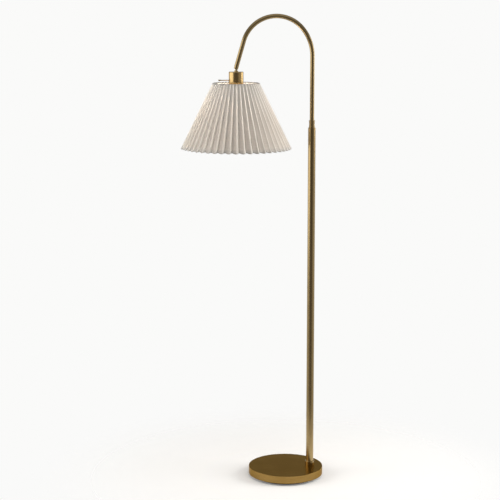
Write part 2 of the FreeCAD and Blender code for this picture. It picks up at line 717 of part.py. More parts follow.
def socket_carrier():
    body = sleeve(CUP_BORE, NECK_NUT_FLATS / 2 + CARRIER_GAP, SOCKET_TOP, CARRIER_TOP, HEAD_X)
    for degrees in CARRIER_SCREWS:
        body = body.cut(on_screw_circle(rod(SCREW_RADIUS, SOCKET_TOP, CARRIER_TOP, HEAD_X), degrees))
    for degrees in TERMINAL_SCREWS:
        body = body.cut(on_screw_circle(rod(SCREW_HEAD + OVER, SOCKET_TOP, CARRIER_TOP, HEAD_X), degrees))
    return body


def carrier_screws():
    grip = CARRIER_THICKNESS + SOCKET_ROOF - SCREW_FLOOR
    return Part.Compound([on_screw_circle(screw(CARRIER_TOP, grip), d) for d in CARRIER_SCREWS])


def terminal_screws():
    grip = SOCKET_ROOF - SCREW_FLOOR
    return Part.Compound([on_screw_circle(screw(SOCKET_TOP, grip), d) for d in TERMINAL_SCREWS])


def switch_block(outer):
    """Box that the switch fills in the socket's side, out to a distance from the head's axis."""
    half = SWITCH_WIDTH / 2
    return block(
        (HEAD_X - outer, HEAD_X - SWITCH_INNER),
        (-half, half),
        (STEM_Z - SWITCH_HEIGHT / 2, STEM_Z + SWITCH_HEIGHT / 2),
    )


def socket_body():
    body = rod(SOCKET_RADIUS, SHOULDER_Z, SOCKET_TOP, HEAD_X)
    body = body.fuse(rod(SKIRT_RADIUS, SOCKET_FOOT, SHOULDER_Z, HEAD_X)).removeSplitter()
    body = body.cut(rod(SHELL_RADIUS, SOCKET_FOOT, CAVITY_TOP, HEAD_X))
    body = body.cut(switch_block(CUP_BORE))
    for degrees in CARRIER_SCREWS + TERMINAL_SCREWS:
        hole = rod(SCREW_RADIUS, CAVITY_TOP + SCREW_FLOOR, SOCKET_TOP, HEAD_X)
        body = body.cut(on_screw_circle(hole, degrees))
    return body


def screw_shell():
    return sleeve(SHELL_RADIUS, SHELL_RADIUS - SHELL_WALL, CAP_FOOT + SHELL_INSET, CAVITY_TOP, HEAD_X)


def centre_contact():
    """Bent brass strip: riveted flat at one end, its tongue presses on the bulb."""
    end, knee, heel, tip = STRIP_BENDS
    outline = [
        (end, CAVITY_TOP),
        (end, CAVITY_TOP - STRIP_THICKNESS),
        (knee, CAVITY_TOP - STRIP_THICKNESS),
        (heel, CONTACT_TOP),
        (tip, CONTACT_TOP),
        (tip, CONTACT_TOP + STRIP_THICKNESS),
        (heel + STRIP_SKEW, CONTACT_TOP + STRIP_THICKNESS),
        (knee + STRIP_SKEW, CAVITY_TOP),
    ]
    corners = [Vector(HEAD_X + x, -STRIP_WIDTH / 2, z) for x, z in outline]
    return Part.Face(Part.makePolygon(corners + corners[:1])).extrude(Vector(0, STRIP_WIDTH, 0))


# ---- switch --------------------------------------------------------------
def switch_housing():
    bore = stem_rod(STEM_RADIUS + RUNNING, SWITCH_INNER + SWITCH_BACK, SWITCH_OUTER)
    return switch_block(SWITCH_OUTER).cut(bore)


def switch_stem():
    return stem_rod(STEM_RADIUS, SWITCH_INNER + SWITCH_BACK + CLEARANCE, STEM_REACH)


def switch_tip():
    tip = stem_rod(TIP_RADIUS, STEM_REACH, STEM_REACH + TIP_LENGTH)
    return tip.makeFillet(TIP_EDGE, [e for e in tip.Edges if e.Curve.TypeId == CIRCLE])


# ---- bulb ----------------------------------------------------------------
def bulb_form(inset, top):
    """Round bulb with a tapering neck, shrunk by an inset; the taper is tangent to the ball."""
    ball = BULB_RADIUS - inset
    neck = GLASS_NECK - inset
    rise = NECK_LEVEL - BULB_CENTRE
    reach = math.hypot(neck, rise)
    angle = math.degrees(math.asin(ball / reach) - math.atan2(neck, rise))
    centre = Vector(0, 0, BULB_CENTRE)
    tip = centre - UP * ball
    touch = point_on_circle(centre, ball, angle)
    side = point_on_circle(centre, ball, (angle - 90) / 2)
    edges = [
        Part.Arc(tip, side, touch).toShape(),
        Part.makeLine(touch, Vector(neck, 0, NECK_LEVEL)),
        Part.makeLine(Vector(neck, 0, NECK_LEVEL), Vector(neck, 0, top)),
        Part.makeLine(Vector(neck, 0, top), Vector(0, 0, top)),
        Part.makeLine(Vector(0, 0, top), tip),
    ]
    return turned_edges(edges, HEAD_X)


def bulb_glass():
    return bulb_form(0, GLASS_TOP).cut(bulb_form(GLASS_WALL, GLASS_TOP + OVER))


def bulb_cap():
    body = rod(CAP_RADIUS, CAP_FOOT, CAP_TOP, HEAD_X)
    return body.cut(rod(CAP_RADIUS - CAP_WALL, CAP_FOOT, CAP_TOP - CAP_WALL, HEAD_X))


def bulb_insulator():
    top = CONTACT_RADIUS + INSULATOR_LEDGE
    return cone(CAP_RADIUS - INSULATOR_INSET, top, CAP_TOP, INSULATOR_TOP, HEAD_X)


def bulb_contact():
    return rod(CONTACT_RADIUS, INSULATOR_TOP, CONTACT_TOP, HEAD_X)


def bulb_stem():
    """Glass mount that carries the filaments, flared where it is sealed to the neck."""
    neck = GLASS_NECK - GLASS_WALL
    return turned(
        [
            (0, BULB_CENTRE),
            (BULB_STEM_RADIUS, BULB_CENTRE),
            (BULB_STEM_RADIUS, NECK_LEVEL),
            (neck, GLASS_TOP - BULB_STEM_SEAL),
            (neck, GLASS_TOP),
            (0, GLASS_TOP),
        ],
        HEAD_X,
    )


def bulb_filaments():
    rods = []
    spread = math.radians(FILAMENT_LEAN)
    for i in range(FILAMENT_COUNT):
        angle = math.radians(FILAMENT_FIRST + 360 * i / FILAMENT_COUNT)
        outward = Vector(math.cos(angle), math.sin(angle), 0)
        reach = BULB_STEM_RADIUS + FILAMENT_RADIUS * math.cos(spread) - TOUCHING
        start = Vector(HEAD_X, 0, NECK_LEVEL - FILAMENT_DROP) + outward * reach
        lean = outward * math.tan(spread) - UP
        rods.append(Part.makeCylinder(FILAMENT_RADIUS, FILAMENT_LENGTH, start, lean))
    return Part.Compound(rods)


# ---- shade ---------------------------------------------------------------
def shade_radius(height):
    """Outer radius of the shade at a height."""
    share = (SHADE_TOP - height) / SHADE_HEIGHT
    return SHADE_TOP_RADIUS + (SHADE_BOTTOM_RADIUS - SHADE_TOP_RADIUS) * share


def lining_radius(height):
    """Inner radius of the pleats at a height."""
    share = (SHADE_TOP - height) / SHADE_HEIGHT
    return shade_radius(height) - PLEAT_TOP - (PLEAT_BOTTOM - PLEAT_TOP) * share


def shade_fabric():
    lower_band = SHADE_FOOT + HEM_BAND
    upper_band = SHADE_TOP - HEM_BAND
    return turned(
        [
            (lining_radius(SHADE_FOOT), SHADE_FOOT),
            (SHADE_BOTTOM_RADIUS, SHADE_FOOT),
            (SHADE_TOP_RADIUS, SHADE_TOP),
            (lining_radius(SHADE_TOP), SHADE_TOP),
            (lining_radius(upper_band), upper_band),
            (shade_radius(upper_band) - CLOTH_WALL, upper_band),
            (shade_radius(lower_band) - CLOTH_WALL, lower_band),
            (lining_radius(lower_band), lower_band),
        ],
        HEAD_X,
    )


def ring_radius(height):
    """Radius of a wire ring that lies against the inside of the pleats."""
    slope = math.atan2(lining_radius(SHADE_FOOT) - lining_radius(SHADE_TOP), SHADE_HEIGHT)
    return lining_radius(height) - (WIRE_RADIUS + TOUCHING) / math.cos(slope)


def shade_top_ring():
    level = SHADE_TOP - HEM
    return wire_ring(ring_radius(level), level, WIRE_RADIUS, HEAD_X)


def shade_bottom_ring():
    level = SHADE_FOOT + HEM
    return wire_ring(ring_radius(level), level, WIRE_RADIUS, HEAD_X)


def shade_fitter():
    return sleeve(FITTER_RADIUS, SKIRT_RADIUS + RUNNING, FITTER_FOOT, SHOULDER_Z, HEAD_X)


def shade_spokes():
    """Level wires from the fitter, each bent up to meet the top ring."""
    ring_level = SHADE_TOP - HEM
    inner = Vector(FITTER_RADIUS, 0, FITTER_FOOT + FITTER_THICKNESS / 2)
    outer = Vector(ring_radius(ring_level), 0, ring_level - WIRE_RADIUS)
    corner = Vector(outer.x, 0, inner.z)
    first = corner - Vector(SPOKE_BEND, 0, 0)
    last = corner + Vector(0, 0, SPOKE_BEND)
    middle = corner + Vector(-1, 0, 1) * SPOKE_BEND * (1 - math.sqrt(0.5))
    route = Part.Wire(
        [
            Part.LineSegment(inner, first).toShape(),
            Part.Arc(first, middle, last).toShape(),
            Part.LineSegment(last, outer).toShape(),
        ]
    )
    spoke = along(route, SPOKE_RADIUS)
    spoke.translate(Vector(HEAD_X, 0, 0))
    return Part.Compound(around(spoke, SPOKE_COUNT, HEAD_X, SPOKE_FIRST))


def shade_ring_nut():
    foot = FITTER_FOOT - RING_NUT_HEIGHT
    rim_foot = FITTER_FOOT - RING_NUT_RIM
    barrel = RING_NUT_RADIUS - RING_NUT_STEP
    nut = turned(
        [
            (SKIRT_RADIUS, foot),
            (barrel, foot),
            (barrel, rim_foot),
            (RING_NUT_RADIUS, rim_foot),
            (RING_NUT_RADIUS, FITTER_FOOT),
            (SKIRT_RADIUS, FITTER_FOOT),
        ],
        HEAD_X,
    )
    notch = rod(NOTCH_RADIUS, foot, rim_foot, HEAD_X + barrel + NOTCH_RADIUS / 2)
    for cut in around(notch, NOTCH_COUNT, HEAD_X):
        nut = nut.cut(cut)
    return nut


PARTS = (
    base_cover,
    base_weight,
    base_pad,
    cord_grommet,
    pole_stud,
    stud_washer,
    stud_nut,
    pole_foot_ring,
    pole_bottom_plug,
    lower_pole,
    pole_coupling,
    upper_pole,
    pole_top_insert,
    collet,
    lock_collar,
    arm_tube,
    glide_bush,
    retaining_ring,
    stop_ring,
    swivel_housing,
    ball_seat,
    seat_spring,
    swivel_nipple,
    swivel_ball,
    spin_washer,
    neck_nut,
    neck_dome,
    socket_cup,
    socket_carrier,
    carrier_screws,
    terminal_screws,
    socket_body,
    screw_shell,
    centre_contact,
    switch_housing,
    switch_stem,
    switch_tip,
    bulb_glass,
    bulb_cap,
    bulb_insulator,
    bulb_contact,
    bulb_stem,
    bulb_filaments,
    shade_fabric,
    shade_top_ring,
    shade_bottom_ring,
    shade_fitter,
    shade_spokes,
    shade_ring_nut,
)


def main():
    os.makedirs("parts", exist_ok=True)
    for make in PARTS:
        shape = make()
        shape.exportStep("parts/" + make.__name__ + ".step")
        print(make.__name__, len(shape.Solids), round(shape.Volume, 1), shape.isValid())


main()
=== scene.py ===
import json
import math

import bmesh
import bpy
import numpy as np
from bpy.props import FloatProperty, FloatVectorProperty, IntProperty, PointerProperty
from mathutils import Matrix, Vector


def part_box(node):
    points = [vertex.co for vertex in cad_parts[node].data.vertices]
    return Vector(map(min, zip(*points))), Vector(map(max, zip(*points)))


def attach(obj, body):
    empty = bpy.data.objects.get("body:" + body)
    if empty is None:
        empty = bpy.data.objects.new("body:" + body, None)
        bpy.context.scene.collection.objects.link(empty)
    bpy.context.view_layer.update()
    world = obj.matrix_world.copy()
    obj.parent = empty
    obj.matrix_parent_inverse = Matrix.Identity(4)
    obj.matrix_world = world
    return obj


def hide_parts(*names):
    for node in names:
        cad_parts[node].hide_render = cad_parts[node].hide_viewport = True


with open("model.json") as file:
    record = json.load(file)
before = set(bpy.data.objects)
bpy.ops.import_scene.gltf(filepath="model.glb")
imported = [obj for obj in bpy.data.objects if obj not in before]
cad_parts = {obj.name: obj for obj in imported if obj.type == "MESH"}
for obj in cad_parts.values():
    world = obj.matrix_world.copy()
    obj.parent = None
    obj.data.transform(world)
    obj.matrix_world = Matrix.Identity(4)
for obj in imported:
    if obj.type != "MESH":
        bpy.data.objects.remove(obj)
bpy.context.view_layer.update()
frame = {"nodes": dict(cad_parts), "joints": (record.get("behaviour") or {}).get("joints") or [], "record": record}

bl_info = {
    "name": "Arc floor lamp",
    "version": (1, 0, 0),
    "blender": (4, 5, 0),
    "location": "3D View > Sidebar > Floor lamp",
    "description": "Finished pieces of an arc floor lamp with a pleated shade, set on its packed model",
    "category": "Object",
}

MM = 0.001
SHARP_ANGLE = 35.0  # degrees between two faces, past which their edge is drawn sharp
RUNNING_GAP = 0.05 * MM  # from a bore to what turns or slides in it
RECORD = frame["record"]
BODY_OF = {node: body for body, nodes in RECORD["behaviour"]["bodies"].items() for node in nodes}
SLOT_OF = {part["node"]: part["material_slot"] for part in RECORD["subparts"]}
JOINT_AT = {joint["name"]: np.array(joint["pos_m"]) for joint in frame["joints"] if "pos_m" in joint}


def low(node):
    """Lowest corner of a CAD node at rest."""
    return np.array(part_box(node)[0])


def high(node):
    """Highest corner of a CAD node at rest."""
    return np.array(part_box(node)[1])


def middle(node):
    """Middle of a CAD node's box."""
    return (low(node) + high(node)) / 2


def half_width(node):
    """Half of a CAD node's size along Y, which is the radius of an upright round piece."""
    return (high(node)[1] - low(node)[1]) / 2


def linear(hex_colour):
    """Linear RGB of an sRGB hex colour: c / 12.92 below 0.04045, else ((c + 0.055) / 1.055) ** 2.4."""
    channels = [int(hex_colour[i : i + 2], 16) / 255 for i in (1, 3, 5)]
    return tuple(c / 12.92 if c <= 0.04045 else ((c + 0.055) / 1.055) ** 2.4 for c in channels)


# ---- places of the main pieces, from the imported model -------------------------
POLE_X = middle("lower_pole")[0]
ARM_RADIUS = half_width("arm_tube")
BALL = JOINT_AT["head_tilt"]
HEAD_X = BALL[0]
CUP_TOP = high("socket_cup")[2]
STEM_Z = middle("switch_tip")[2]


# ---- sizes and colours that a user may change --------------------------------
def length(name, description, metres):
    """A size in metres, which Blender shows in the scene's units."""
    return FloatProperty(
        name=name, description=description, default=metres, min=0.0, unit="LENGTH", precision=4
    )


def angle(name, description, degrees):
    """An angle, given in degrees and kept in radians."""
    return FloatProperty(name=name, description=description, default=math.radians(degrees), unit="ROTATION")


def colour(name, description, hex_colour):
    """A colour, given as sRGB hex and kept as linear RGB."""
    return FloatVectorProperty(
        name=name, description=description, default=linear(hex_colour), subtype="COLOR", min=0.0, max=1.0
    )


class FloorLampSizes(bpy.types.PropertyGroup):
    """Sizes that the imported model's boxes don't give"""

    turn_steps: IntProperty(
        name="Turned steps", description="Faces round a turned piece", default=128, min=24, max=512
    )
    cover_wall: length("Cover wall", "Sheet thickness of the spun base cover", 1.5 * MM)
    cover_edge: length("Cover edge", "Rounding of the base cover's upper edge", 1.6 * MM)
    lead_hole: length("Lead hole", "Radius of the hole for the grommet in the cover's rim", 5.0 * MM)
    tube_wall: length("Tube wall", "Wall of the pole and arm tubes", 1.2 * MM)
    seam_chamfer: length("Seam chamfer", "Chamfer where the two pole sections meet", 0.35 * MM)
    collar_rim: length("Collar rim", "Height of each rim of the lock collar", 2.6 * MM)
    collar_dip: length("Collar dip", "How far the collar's waist is drawn in", 0.8 * MM)
    shoulder_radius: length("Shoulder radius", "Radius of the arm's first, gentle bend", 141.0 * MM)
    shoulder_turn: angle("Shoulder turn", "Angle of the arm's first bend", 40.6)
    crown_radius: length("Crown radius", "Radius of the bend over the top", 113.0 * MM)
    crown_turn: angle("Crown turn", "Angle of the bend over the top", 123.2)
    housing_above: length("Housing above ball", "From the ball's centre to the arm tube's end", 20.0 * MM)
    housing_below: length("Housing below ball", "From the ball's centre to the housing's mouth", 4.5 * MM)
    slot_reach: length("Slot reach", "From the ball's centre up to the slot's end", 5.0 * MM)
    neck_radius: length("Neck radius", "Radius of the hollow neck under the ball", 3.5 * MM)
    cup_wall: length("Cup wall", "Sheet thickness of the socket cup", 1.0 * MM)
    cup_edge: length("Cup edge", "Rounding of the socket cup's upper edge", 2.0 * MM)
    glass_wall: length("Glass wall", "Wall of the bulb's glass", 1.0 * MM)
    pleat_count: IntProperty(
        name="Pleats", description="Knife pleats round the shade", default=48, min=12, max=96
    )
    pleat_first: angle("First pleat", "Where the first pleat starts, from +X towards +Y", -100.4)
    pleat_top: length("Pleat depth above", "Depth of the pleats at the upper edge", 4.0 * MM)
    pleat_bottom: length("Pleat depth below", "Depth of the pleats at the lower edge", 8.0 * MM)
    pleat_cloth: length("Cloth in a pleat", "Width of cloth that goes into each pleat", 34.0 * MM)
    hem: length("Hem", "Cloth turned in at the shade's edges", 9.0 * MM)
    scallop: length("Scallop", "How much lower the shade's foot hangs at a ridge than in a valley", 4.0 * MM)
    cloth_thickness: length("Cloth thickness", "Thickness of the shade's cloth", 0.35 * MM)


class FloorLampColours(bpy.types.PropertyGroup):
    """Colours of the lamp's finishes"""

    brass: colour("Antique brass", "Lacquered plate on the tubes and fittings", "#A89165")
    brass_worn: colour("Worn brass", "The same where the patina is rubbed thin", "#B39C6E")
    # Painted shade: the two spun colours are darker copies of the same brass, used on the base cover and the
    # switch.
    spun: colour("Spun brass", "Lacquered plate on the base cover", "#947640")
    spun_worn_painted_shade: colour("Worn spun brass", "The same where the patina is rubbed thin", "#9F8049")
    # Painted light: the two cup colours are brighter copies of the same brass as the tubes.
    cup: colour("Cup brass", "Brighter plate on the socket cup", "#B99B66")
    cup_worn_painted_light: colour("Worn cup brass", "The same where the patina is rubbed thin", "#C2A570")
    bare_brass: colour("Bare brass", "Turned brass fittings inside", "#C6A45C")
    cloth: colour("Shade cloth", "Off-white linen mix", "#E3DDD6")
    cloth_slub: colour("Slub yarn", "Thicker, darker yarns in the cloth", "#D9D2CA")
    # Painted shade: a darker cloth colour for where tucks and the hem back the cloth.
    cloth_painted_shade: colour("Deep cloth", "The cloth where tucks and hems back it", "#C6C0B8")
    # Painted light: a near-white cloth colour for the narrow faces that lie in one layer.
    cloth_open_painted_light: colour("Open fold", "The cloth where it lies in one layer", "#FCFAF6")
    bulb_light: colour("Bulb light", "Warm white light of the bulb", "#FFEEDF")


def sizes():
    return bpy.context.scene.floor_lamp_sizes


def colours():
    return bpy.context.scene.floor_lamp_colours


# ---- surfaces ----------------------------------------------------------------
def running_length(line):
    """Distance travelled along a closed run of points, from 0 at the first back to the first."""
    steps = np.linalg.norm(np.roll(line, -1, axis=0) - line, axis=-1)
    return np.concatenate([[0.0], np.cumsum(steps)])


def surface(name, points, loop_u=True, loop_v=False, sharp=SHARP_ANGLE, marks=()):
    """Object whose mesh is the grid points[v, u].

    Face (v, u) has the corners (v, u), (v, u + 1), (v + 1, u + 1), (v + 1, u), and a looping direction
    joins its last points to its first.  UVs are distances along the grid in metres, and marks are
    pairs of a name and a value for each point.
    """
    rows, columns = points.shape[:2]
    v = np.arange(rows if loop_v else rows - 1)[:, None, None] + np.array([0, 0, 1, 1])
    u = np.arange(columns if loop_u else columns - 1)[None, :, None] + np.array([0, 1, 1, 0])
    faces = (v % rows) * columns + u % columns
    mesh = bpy.data.meshes.new(name)
    mesh.from_pydata(points.reshape(-1, 3).tolist(), [], faces.reshape(-1, 4).tolist())
    widest = max(range(rows), key=lambda row: running_length(points[row])[-1])
    along_u = running_length(points[widest])
    along_v = running_length(points[:, 0])
    uv = np.stack(np.broadcast_arrays(along_u[u], along_v[v]), axis=-1)
    mesh.uv_layers.new(name="along").data.foreach_set("uv", uv.astype(np.float32).ravel())
    for mark, values in marks:
        layer = mesh.attributes.new(mark, "FLOAT", "POINT")
        layer.data.foreach_set("value", values.astype(np.float32).ravel())
    weld(mesh)
    mesh.shade_smooth()
    mesh.set_sharp_from_angle(angle=math.radians(sharp))
    piece = bpy.data.objects.new(name, mesh)
    bpy.context.scene.collection.objects.link(piece)
    return piece


def weld(mesh):
    """Merges the points that meet at a pole or seam."""
    work = bmesh.new()
    work.from_mesh(mesh)
    bmesh.ops.remove_doubles(work, verts=work.verts, dist=1e-7)
    work.to_mesh(mesh)
    work.free()


def arc(centre, radius, start, end, steps=8):
    """Points centre + radius (cos a, sin a), with a from start to end in degrees."""
    a = np.radians(np.linspace(start, end, steps + 1))
    return np.stack([centre[0] + radius * np.cos(a), centre[1] + radius * np.sin(a)], axis=-1)


def outline(*runs):
    """One (n, 2) run of profile points from single points and arcs."""
    return np.concatenate([np.atleast_2d(run) for run in runs])


def turned(name, profile, x=0.0, closed=True, steps=None):
    """Surface of revolution: profile point (r, z) goes to (x + r cos u, r sin u, z).

    A profile runs up the outside and down the inside.  A closed one returns to its first point, and an
    open one has both ends on the axis.
    """
    steps = steps or sizes().turn_steps
    u = np.linspace(0, 2 * np.pi, steps, endpoint=False)
    radius, height = profile[:, :1], profile[:, 1:]
    points = np.stack([x + radius * np.cos(u), radius * np.sin(u), height + 0 * u], axis=-1)
    return surface(name, points, loop_v=closed)


def swept(name, path, radii, steps=48):
    """Tube along a path in the XZ plane, out on its first radius and back on its second.

    Point (v, u) is path[v] + radii[v] (cos u N + sin u Y), where N is the path's tangent turned
    a quarter towards +X.
    """
    tangent = np.gradient(path, axis=0)
    tangent /= np.linalg.norm(tangent, axis=1, keepdims=True)
    path, tangent = (np.concatenate([line, line[::-1]]) for line in (path, tangent))
    radii = np.repeat(radii, len(path) // 2)
    normal = np.stack([tangent[:, 2], 0 * tangent[:, 0], -tangent[:, 0]], axis=-1)
    across = np.array([0.0, 1.0, 0.0])
    u = np.linspace(0, 2 * np.pi, steps, endpoint=False)[:, None]
    ring = np.cos(u) * normal[:, None, :] + np.sin(u) * across
    points = path[:, None, :] + radii[:, None, None] * ring
    return surface(name, points, loop_v=True)


def moved(piece, matrix, offset=(0, 0, 0)):
    """Turns a piece's mesh by a 3 x 3 matrix, p -> M p, and then shifts it."""
    mesh = piece.data
    points = np.empty(3 * len(mesh.vertices), dtype=np.float32)
    mesh.vertices.foreach_get("co", points)
    points = points.reshape(-1, 3) @ np.asarray(matrix).T + np.asarray(offset)
    mesh.vertices.foreach_set("co", points.astype(np.float32).ravel())
    mesh.update()
    return piece


def leaning(degrees):
    """Matrix that turns +Z by an angle towards +X."""
    c, s = math.cos(math.radians(degrees)), math.sin(math.radians(degrees))
    return np.array([[c, 0, s], [0, 1, 0], [-s, 0, c]])


def cut_away(piece, cutter):
    """Cuts a closed shape out of a piece and removes the cutter."""
    cut = piece.modifiers.new("cut", "BOOLEAN")
    cut.operation = "DIFFERENCE"
    cut.solver = "EXACT"
    cut.object = cutter
    piece.data = bpy.data.meshes.new_from_object(piece.evaluated_get(bpy.context.evaluated_depsgraph_get()))
    piece.modifiers.remove(cut)
    bpy.data.objects.remove(cutter)
    piece.data.shade_smooth()
    piece.data.set_sharp_from_angle(angle=math.radians(SHARP_ANGLE))


def stands_for(piece, material, node):
    """Puts a finished piece in place of its plain CAD node, on that node's body and with the given material."""
    piece.data.materials.clear()
    piece.data.materials.append(material)
    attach(piece, BODY_OF[node])
    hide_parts(node)
    return piece


def stands_hard(piece, material, node):
    """The same for a hard piece, whose flats keep their flat shading beside small roundings."""
    shading = piece.modifiers.new("even_shading", "WEIGHTED_NORMAL")
    shading.keep_sharp = True
    return stands_for(piece, material, node)


# ---- materials ---------------------------------------------------------------
def add(tree, kind, inputs=(), **settings):
    """Adds a node with its settings; an input is a value, or a socket that is linked."""
    node = tree.nodes.new("ShaderNode" + kind)
    for name, value in settings.items():
        setattr(node, name, value)
    for name, value in dict(inputs).items():
        if isinstance(value, bpy.types.NodeSocket):
            tree.links.new(value, node.inputs[name])
        else:
            node.inputs[name].default_value = value
    return node


def rgba(rgb):
    """A colour with an opaque fourth channel, as shader sockets take it."""
    return (*tuple(rgb)[:3], 1.0)


def new_material(name):
    """An empty material and its node tree."""
    material = bpy.data.materials.get(name)
    if material:
        return material, None
    material = bpy.data.materials.new(name)
    material.use_nodes = True
    material.node_tree.nodes.clear()
    return material, material.node_tree


def show(tree, shader):
    """Links a shader to the material's output."""
    add(tree, "OutputMaterial", {"Surface": shader.outputs[0]})


def blend_colours(tree, share, first, second):
    """Colour between two, by a socket from 0 to 1; each is a colour or a socket."""
    mix = add(tree, "Mix", {"Factor": share}, data_type="RGBA")
    for place, tone in ((6, first), (7, second)):
        if isinstance(tone, bpy.types.NodeSocket):
            tree.links.new(tone, mix.inputs[place])
        else:
            mix.inputs[place].default_value = rgba(tone)
    return mix.outputs[2]


def map_range(tree, value, low_in, high_in, low_out, high_out):
    """A socket's value carried from one range to another and held inside it."""
    inputs = {"Value": value, "From Min": low_in, "From Max": high_in, "To Min": low_out, "To Max": high_out}
    return add(tree, "MapRange", inputs).outputs[0]


def stretched_noise(tree, coordinates, scale, detail=3.0, roughness=0.55):
    """Noise whose grain is 1 / scale metres long along each axis of the coordinates."""
    mapping = add(tree, "Mapping", {"Vector": coordinates, "Scale": scale})
    inputs = {"Vector": mapping.outputs[0], "Scale": 1.0, "Detail": detail, "Roughness": roughness}
    return add(tree, "TexNoise", inputs).outputs[0]


def brushed_metal(tree, streaks, patina, dark, light, gloss, coat, edge="#FFFFFF"):
    """Shader of a brushed and lacquered metal, from noise for its streaks and for its patina.

    edge is the tint of what it mirrors at a flat angle.
    """
    base = blend_colours(tree, map_range(tree, patina, 0.4, 0.7, 0.0, 1.0), dark, light)
    rough = map_range(tree, streaks, 0.3, 0.7, gloss - 0.02, gloss + 0.03)
    bump = add(tree, "Bump", {"Height": streaks, "Strength": 0.3, "Distance": 0.002 * MM})
    inputs = {"Base Color": base, "Metallic": 1.0, "Roughness": rough, "Normal": bump.outputs[0]}
    inputs.update({"Coat Weight": coat, "Coat Roughness": gloss * 0.7, "Specular Tint": rgba(linear(edge))})
    return add(tree, "BsdfPrincipled", inputs)


def antique_brass(kind="drawn", lines=(900.0, 900.0, 6.0), around=False):
    """Antique brass: brass plate on steel, fine brushed along its length, patinated and lacquered.

    The brushing gives long soft streaks, the patina a slow change between olive brown and pale gold,
    and the lacquer a thin clear shine over both.  The streaks are drawn 1.1 mm wide, where real ones
    are 0.1 mm, so that they show.
    """
    material, tree = new_material("antique_brass_" + kind)
    if tree is None:
        return material
    c = colours()
    dark, light, gloss = {
        # Painted light: the cup takes a brighter copy of the brass.
        "cup": (c.cup, c.cup_worn_painted_light, 0.2),
        # Painted shade: the switch takes the darker spun copy of the brass.
        "switch": (c.spun, c.spun_worn_painted_shade, 0.28),
    }.get(kind, (c.brass, c.brass_worn, 0.24))
    at = add(tree, "TexCoord")
    streaks = stretched_noise(tree, at.outputs["UV" if around else "Object"], lines, detail=2.0)
    patina = stretched_noise(tree, at.outputs["Object"], (16.0, 16.0, 7.0), detail=4.0)
    show(tree, brushed_metal(tree, streaks, patina, dark, light, gloss, 0.3))
    return material


def spun_brass():
    """Antique brass of the spun cover: the brushing runs in circles round the middle.

    Object coordinates give the distance from the cover's middle, and the streaks follow it, drawn
    1.2 mm wide so that they show.
    """
    material, tree = new_material("antique_brass_spun")
    if tree is None:
        return material
    at = add(tree, "TexCoord").outputs["Object"]
    flat = add(tree, "VectorMath", {0: at, 1: (1.0, 1.0, 0.0)}, operation="MULTIPLY")
    out = add(tree, "VectorMath", {0: flat.outputs[0]}, operation="LENGTH").outputs["Value"]
    parts = add(tree, "SeparateXYZ", {0: at})
    turn = add(tree, "Math", {0: parts.outputs[1], 1: parts.outputs[0]}, operation="ARCTAN2")
    polar = add(tree, "CombineXYZ", {0: out, 1: turn.outputs[0], 2: parts.outputs[2]})
    rings = stretched_noise(tree, polar.outputs[0], (850.0, 1.6, 850.0), detail=2.0)
    patina = stretched_noise(tree, at, (14.0, 14.0, 40.0), detail=4.0)
    # The spun colours are a darker copy of the brass, which is painted shade.
    show(tree, brushed_metal(tree, rings, patina, colours().spun, colours().spun_worn_painted_shade, 0.24, 0.07, "#E2CFB0"))
    return material


def grained(name, first, second, grain, roughness, metallic=0.0, bump=0.15, ior=1.5, coat=0.0, detail=3.0):
    """Solid finish with a fine grain.

    first and second are the hex colours that the grain runs between, grain its size in mm, roughness a
    pair of limits and bump the depth of the grain in mm.  Grain under a millimetre is drawn at about
    one, coarser than real, so that it shows.
    """
    material, tree = new_material(name)
    if tree is None:
        return material
    at = add(tree, "TexCoord").outputs["Object"]
    per_metre = 1.0 / (grain * MM)
    noise = stretched_noise(tree, at, (per_metre,) * 3, detail=detail)
    share = map_range(tree, noise, 0.35, 0.65, 0.0, 1.0)
    base = blend_colours(tree, share, linear(first), linear(second))
    rough = map_range(tree, noise, 0.35, 0.65, *roughness)
    relief = add(tree, "Bump", {"Height": noise, "Strength": 0.5, "Distance": bump * MM})
    inputs = {"Base Color": base, "Roughness": rough, "Metallic": metallic, "Normal": relief.outputs[0]}
    if metallic < 1.0:
        inputs["IOR"] = ior
    if coat:
        inputs["Coat Weight"] = coat
        inputs["Coat Roughness"] = 0.08
    show(tree, add(tree, "BsdfPrincipled", inputs))
    return material


def cast_iron():
    """Grey cast iron under black paint: sand-cast, so its skin is coarse and dull."""
    return grained("painted_cast_iron", "#0C0C0D", "#191817", 1.6, (0.55, 0.75), bump=0.25)


def foam_rubber():
    """Closed-cell foam rubber, die cut: dead black and matt, with cells of about a millimetre."""
    return grained("foam_rubber", "#0B0B0B", "#151515", 1.1, (0.85, 0.95), bump=0.2)


def black_plastic():
    """Black nylon, moulded: a fine spark-eroded texture and a satin shine."""
    return grained("moulded_black_nylon", "#0F0F10", "#1A1A1B", 0.9, (0.38, 0.5), bump=0.05, ior=1.53)


def zinc_steel():
    """Mild steel, zinc plated and blue passivated: pale, with a slightly clouded shine."""
    return grained("zinc_plated_steel", "#A9ADB1", "#C6C9CA", 3.0, (0.28, 0.42), metallic=1.0, bump=0.01)


def bare_brass():
    """Free-cutting brass, turned and left bare: yellow and bright with fine tool marks."""
    return grained("turned_bare_brass", "#B8924A", "#CDAE68", 1.0, (0.22, 0.34), metallic=1.0, bump=0.02)


def natural_nylon():
    """Natural nylon, moulded: milky white and waxy."""
    return grained("moulded_natural_nylon", "#DCD8CB", "#E6E3D8", 4.0, (0.35, 0.45), bump=0.02, ior=1.53)


def porcelain():
    """Electrical porcelain, pressed and glazed: white, with a wet shine and faint waves in the glaze."""
    return grained("glazed_porcelain", "#E9E6DE", "#F1EFE9", 7.0, (0.12, 0.2), bump=0.03, ior=1.54, coat=0.6)


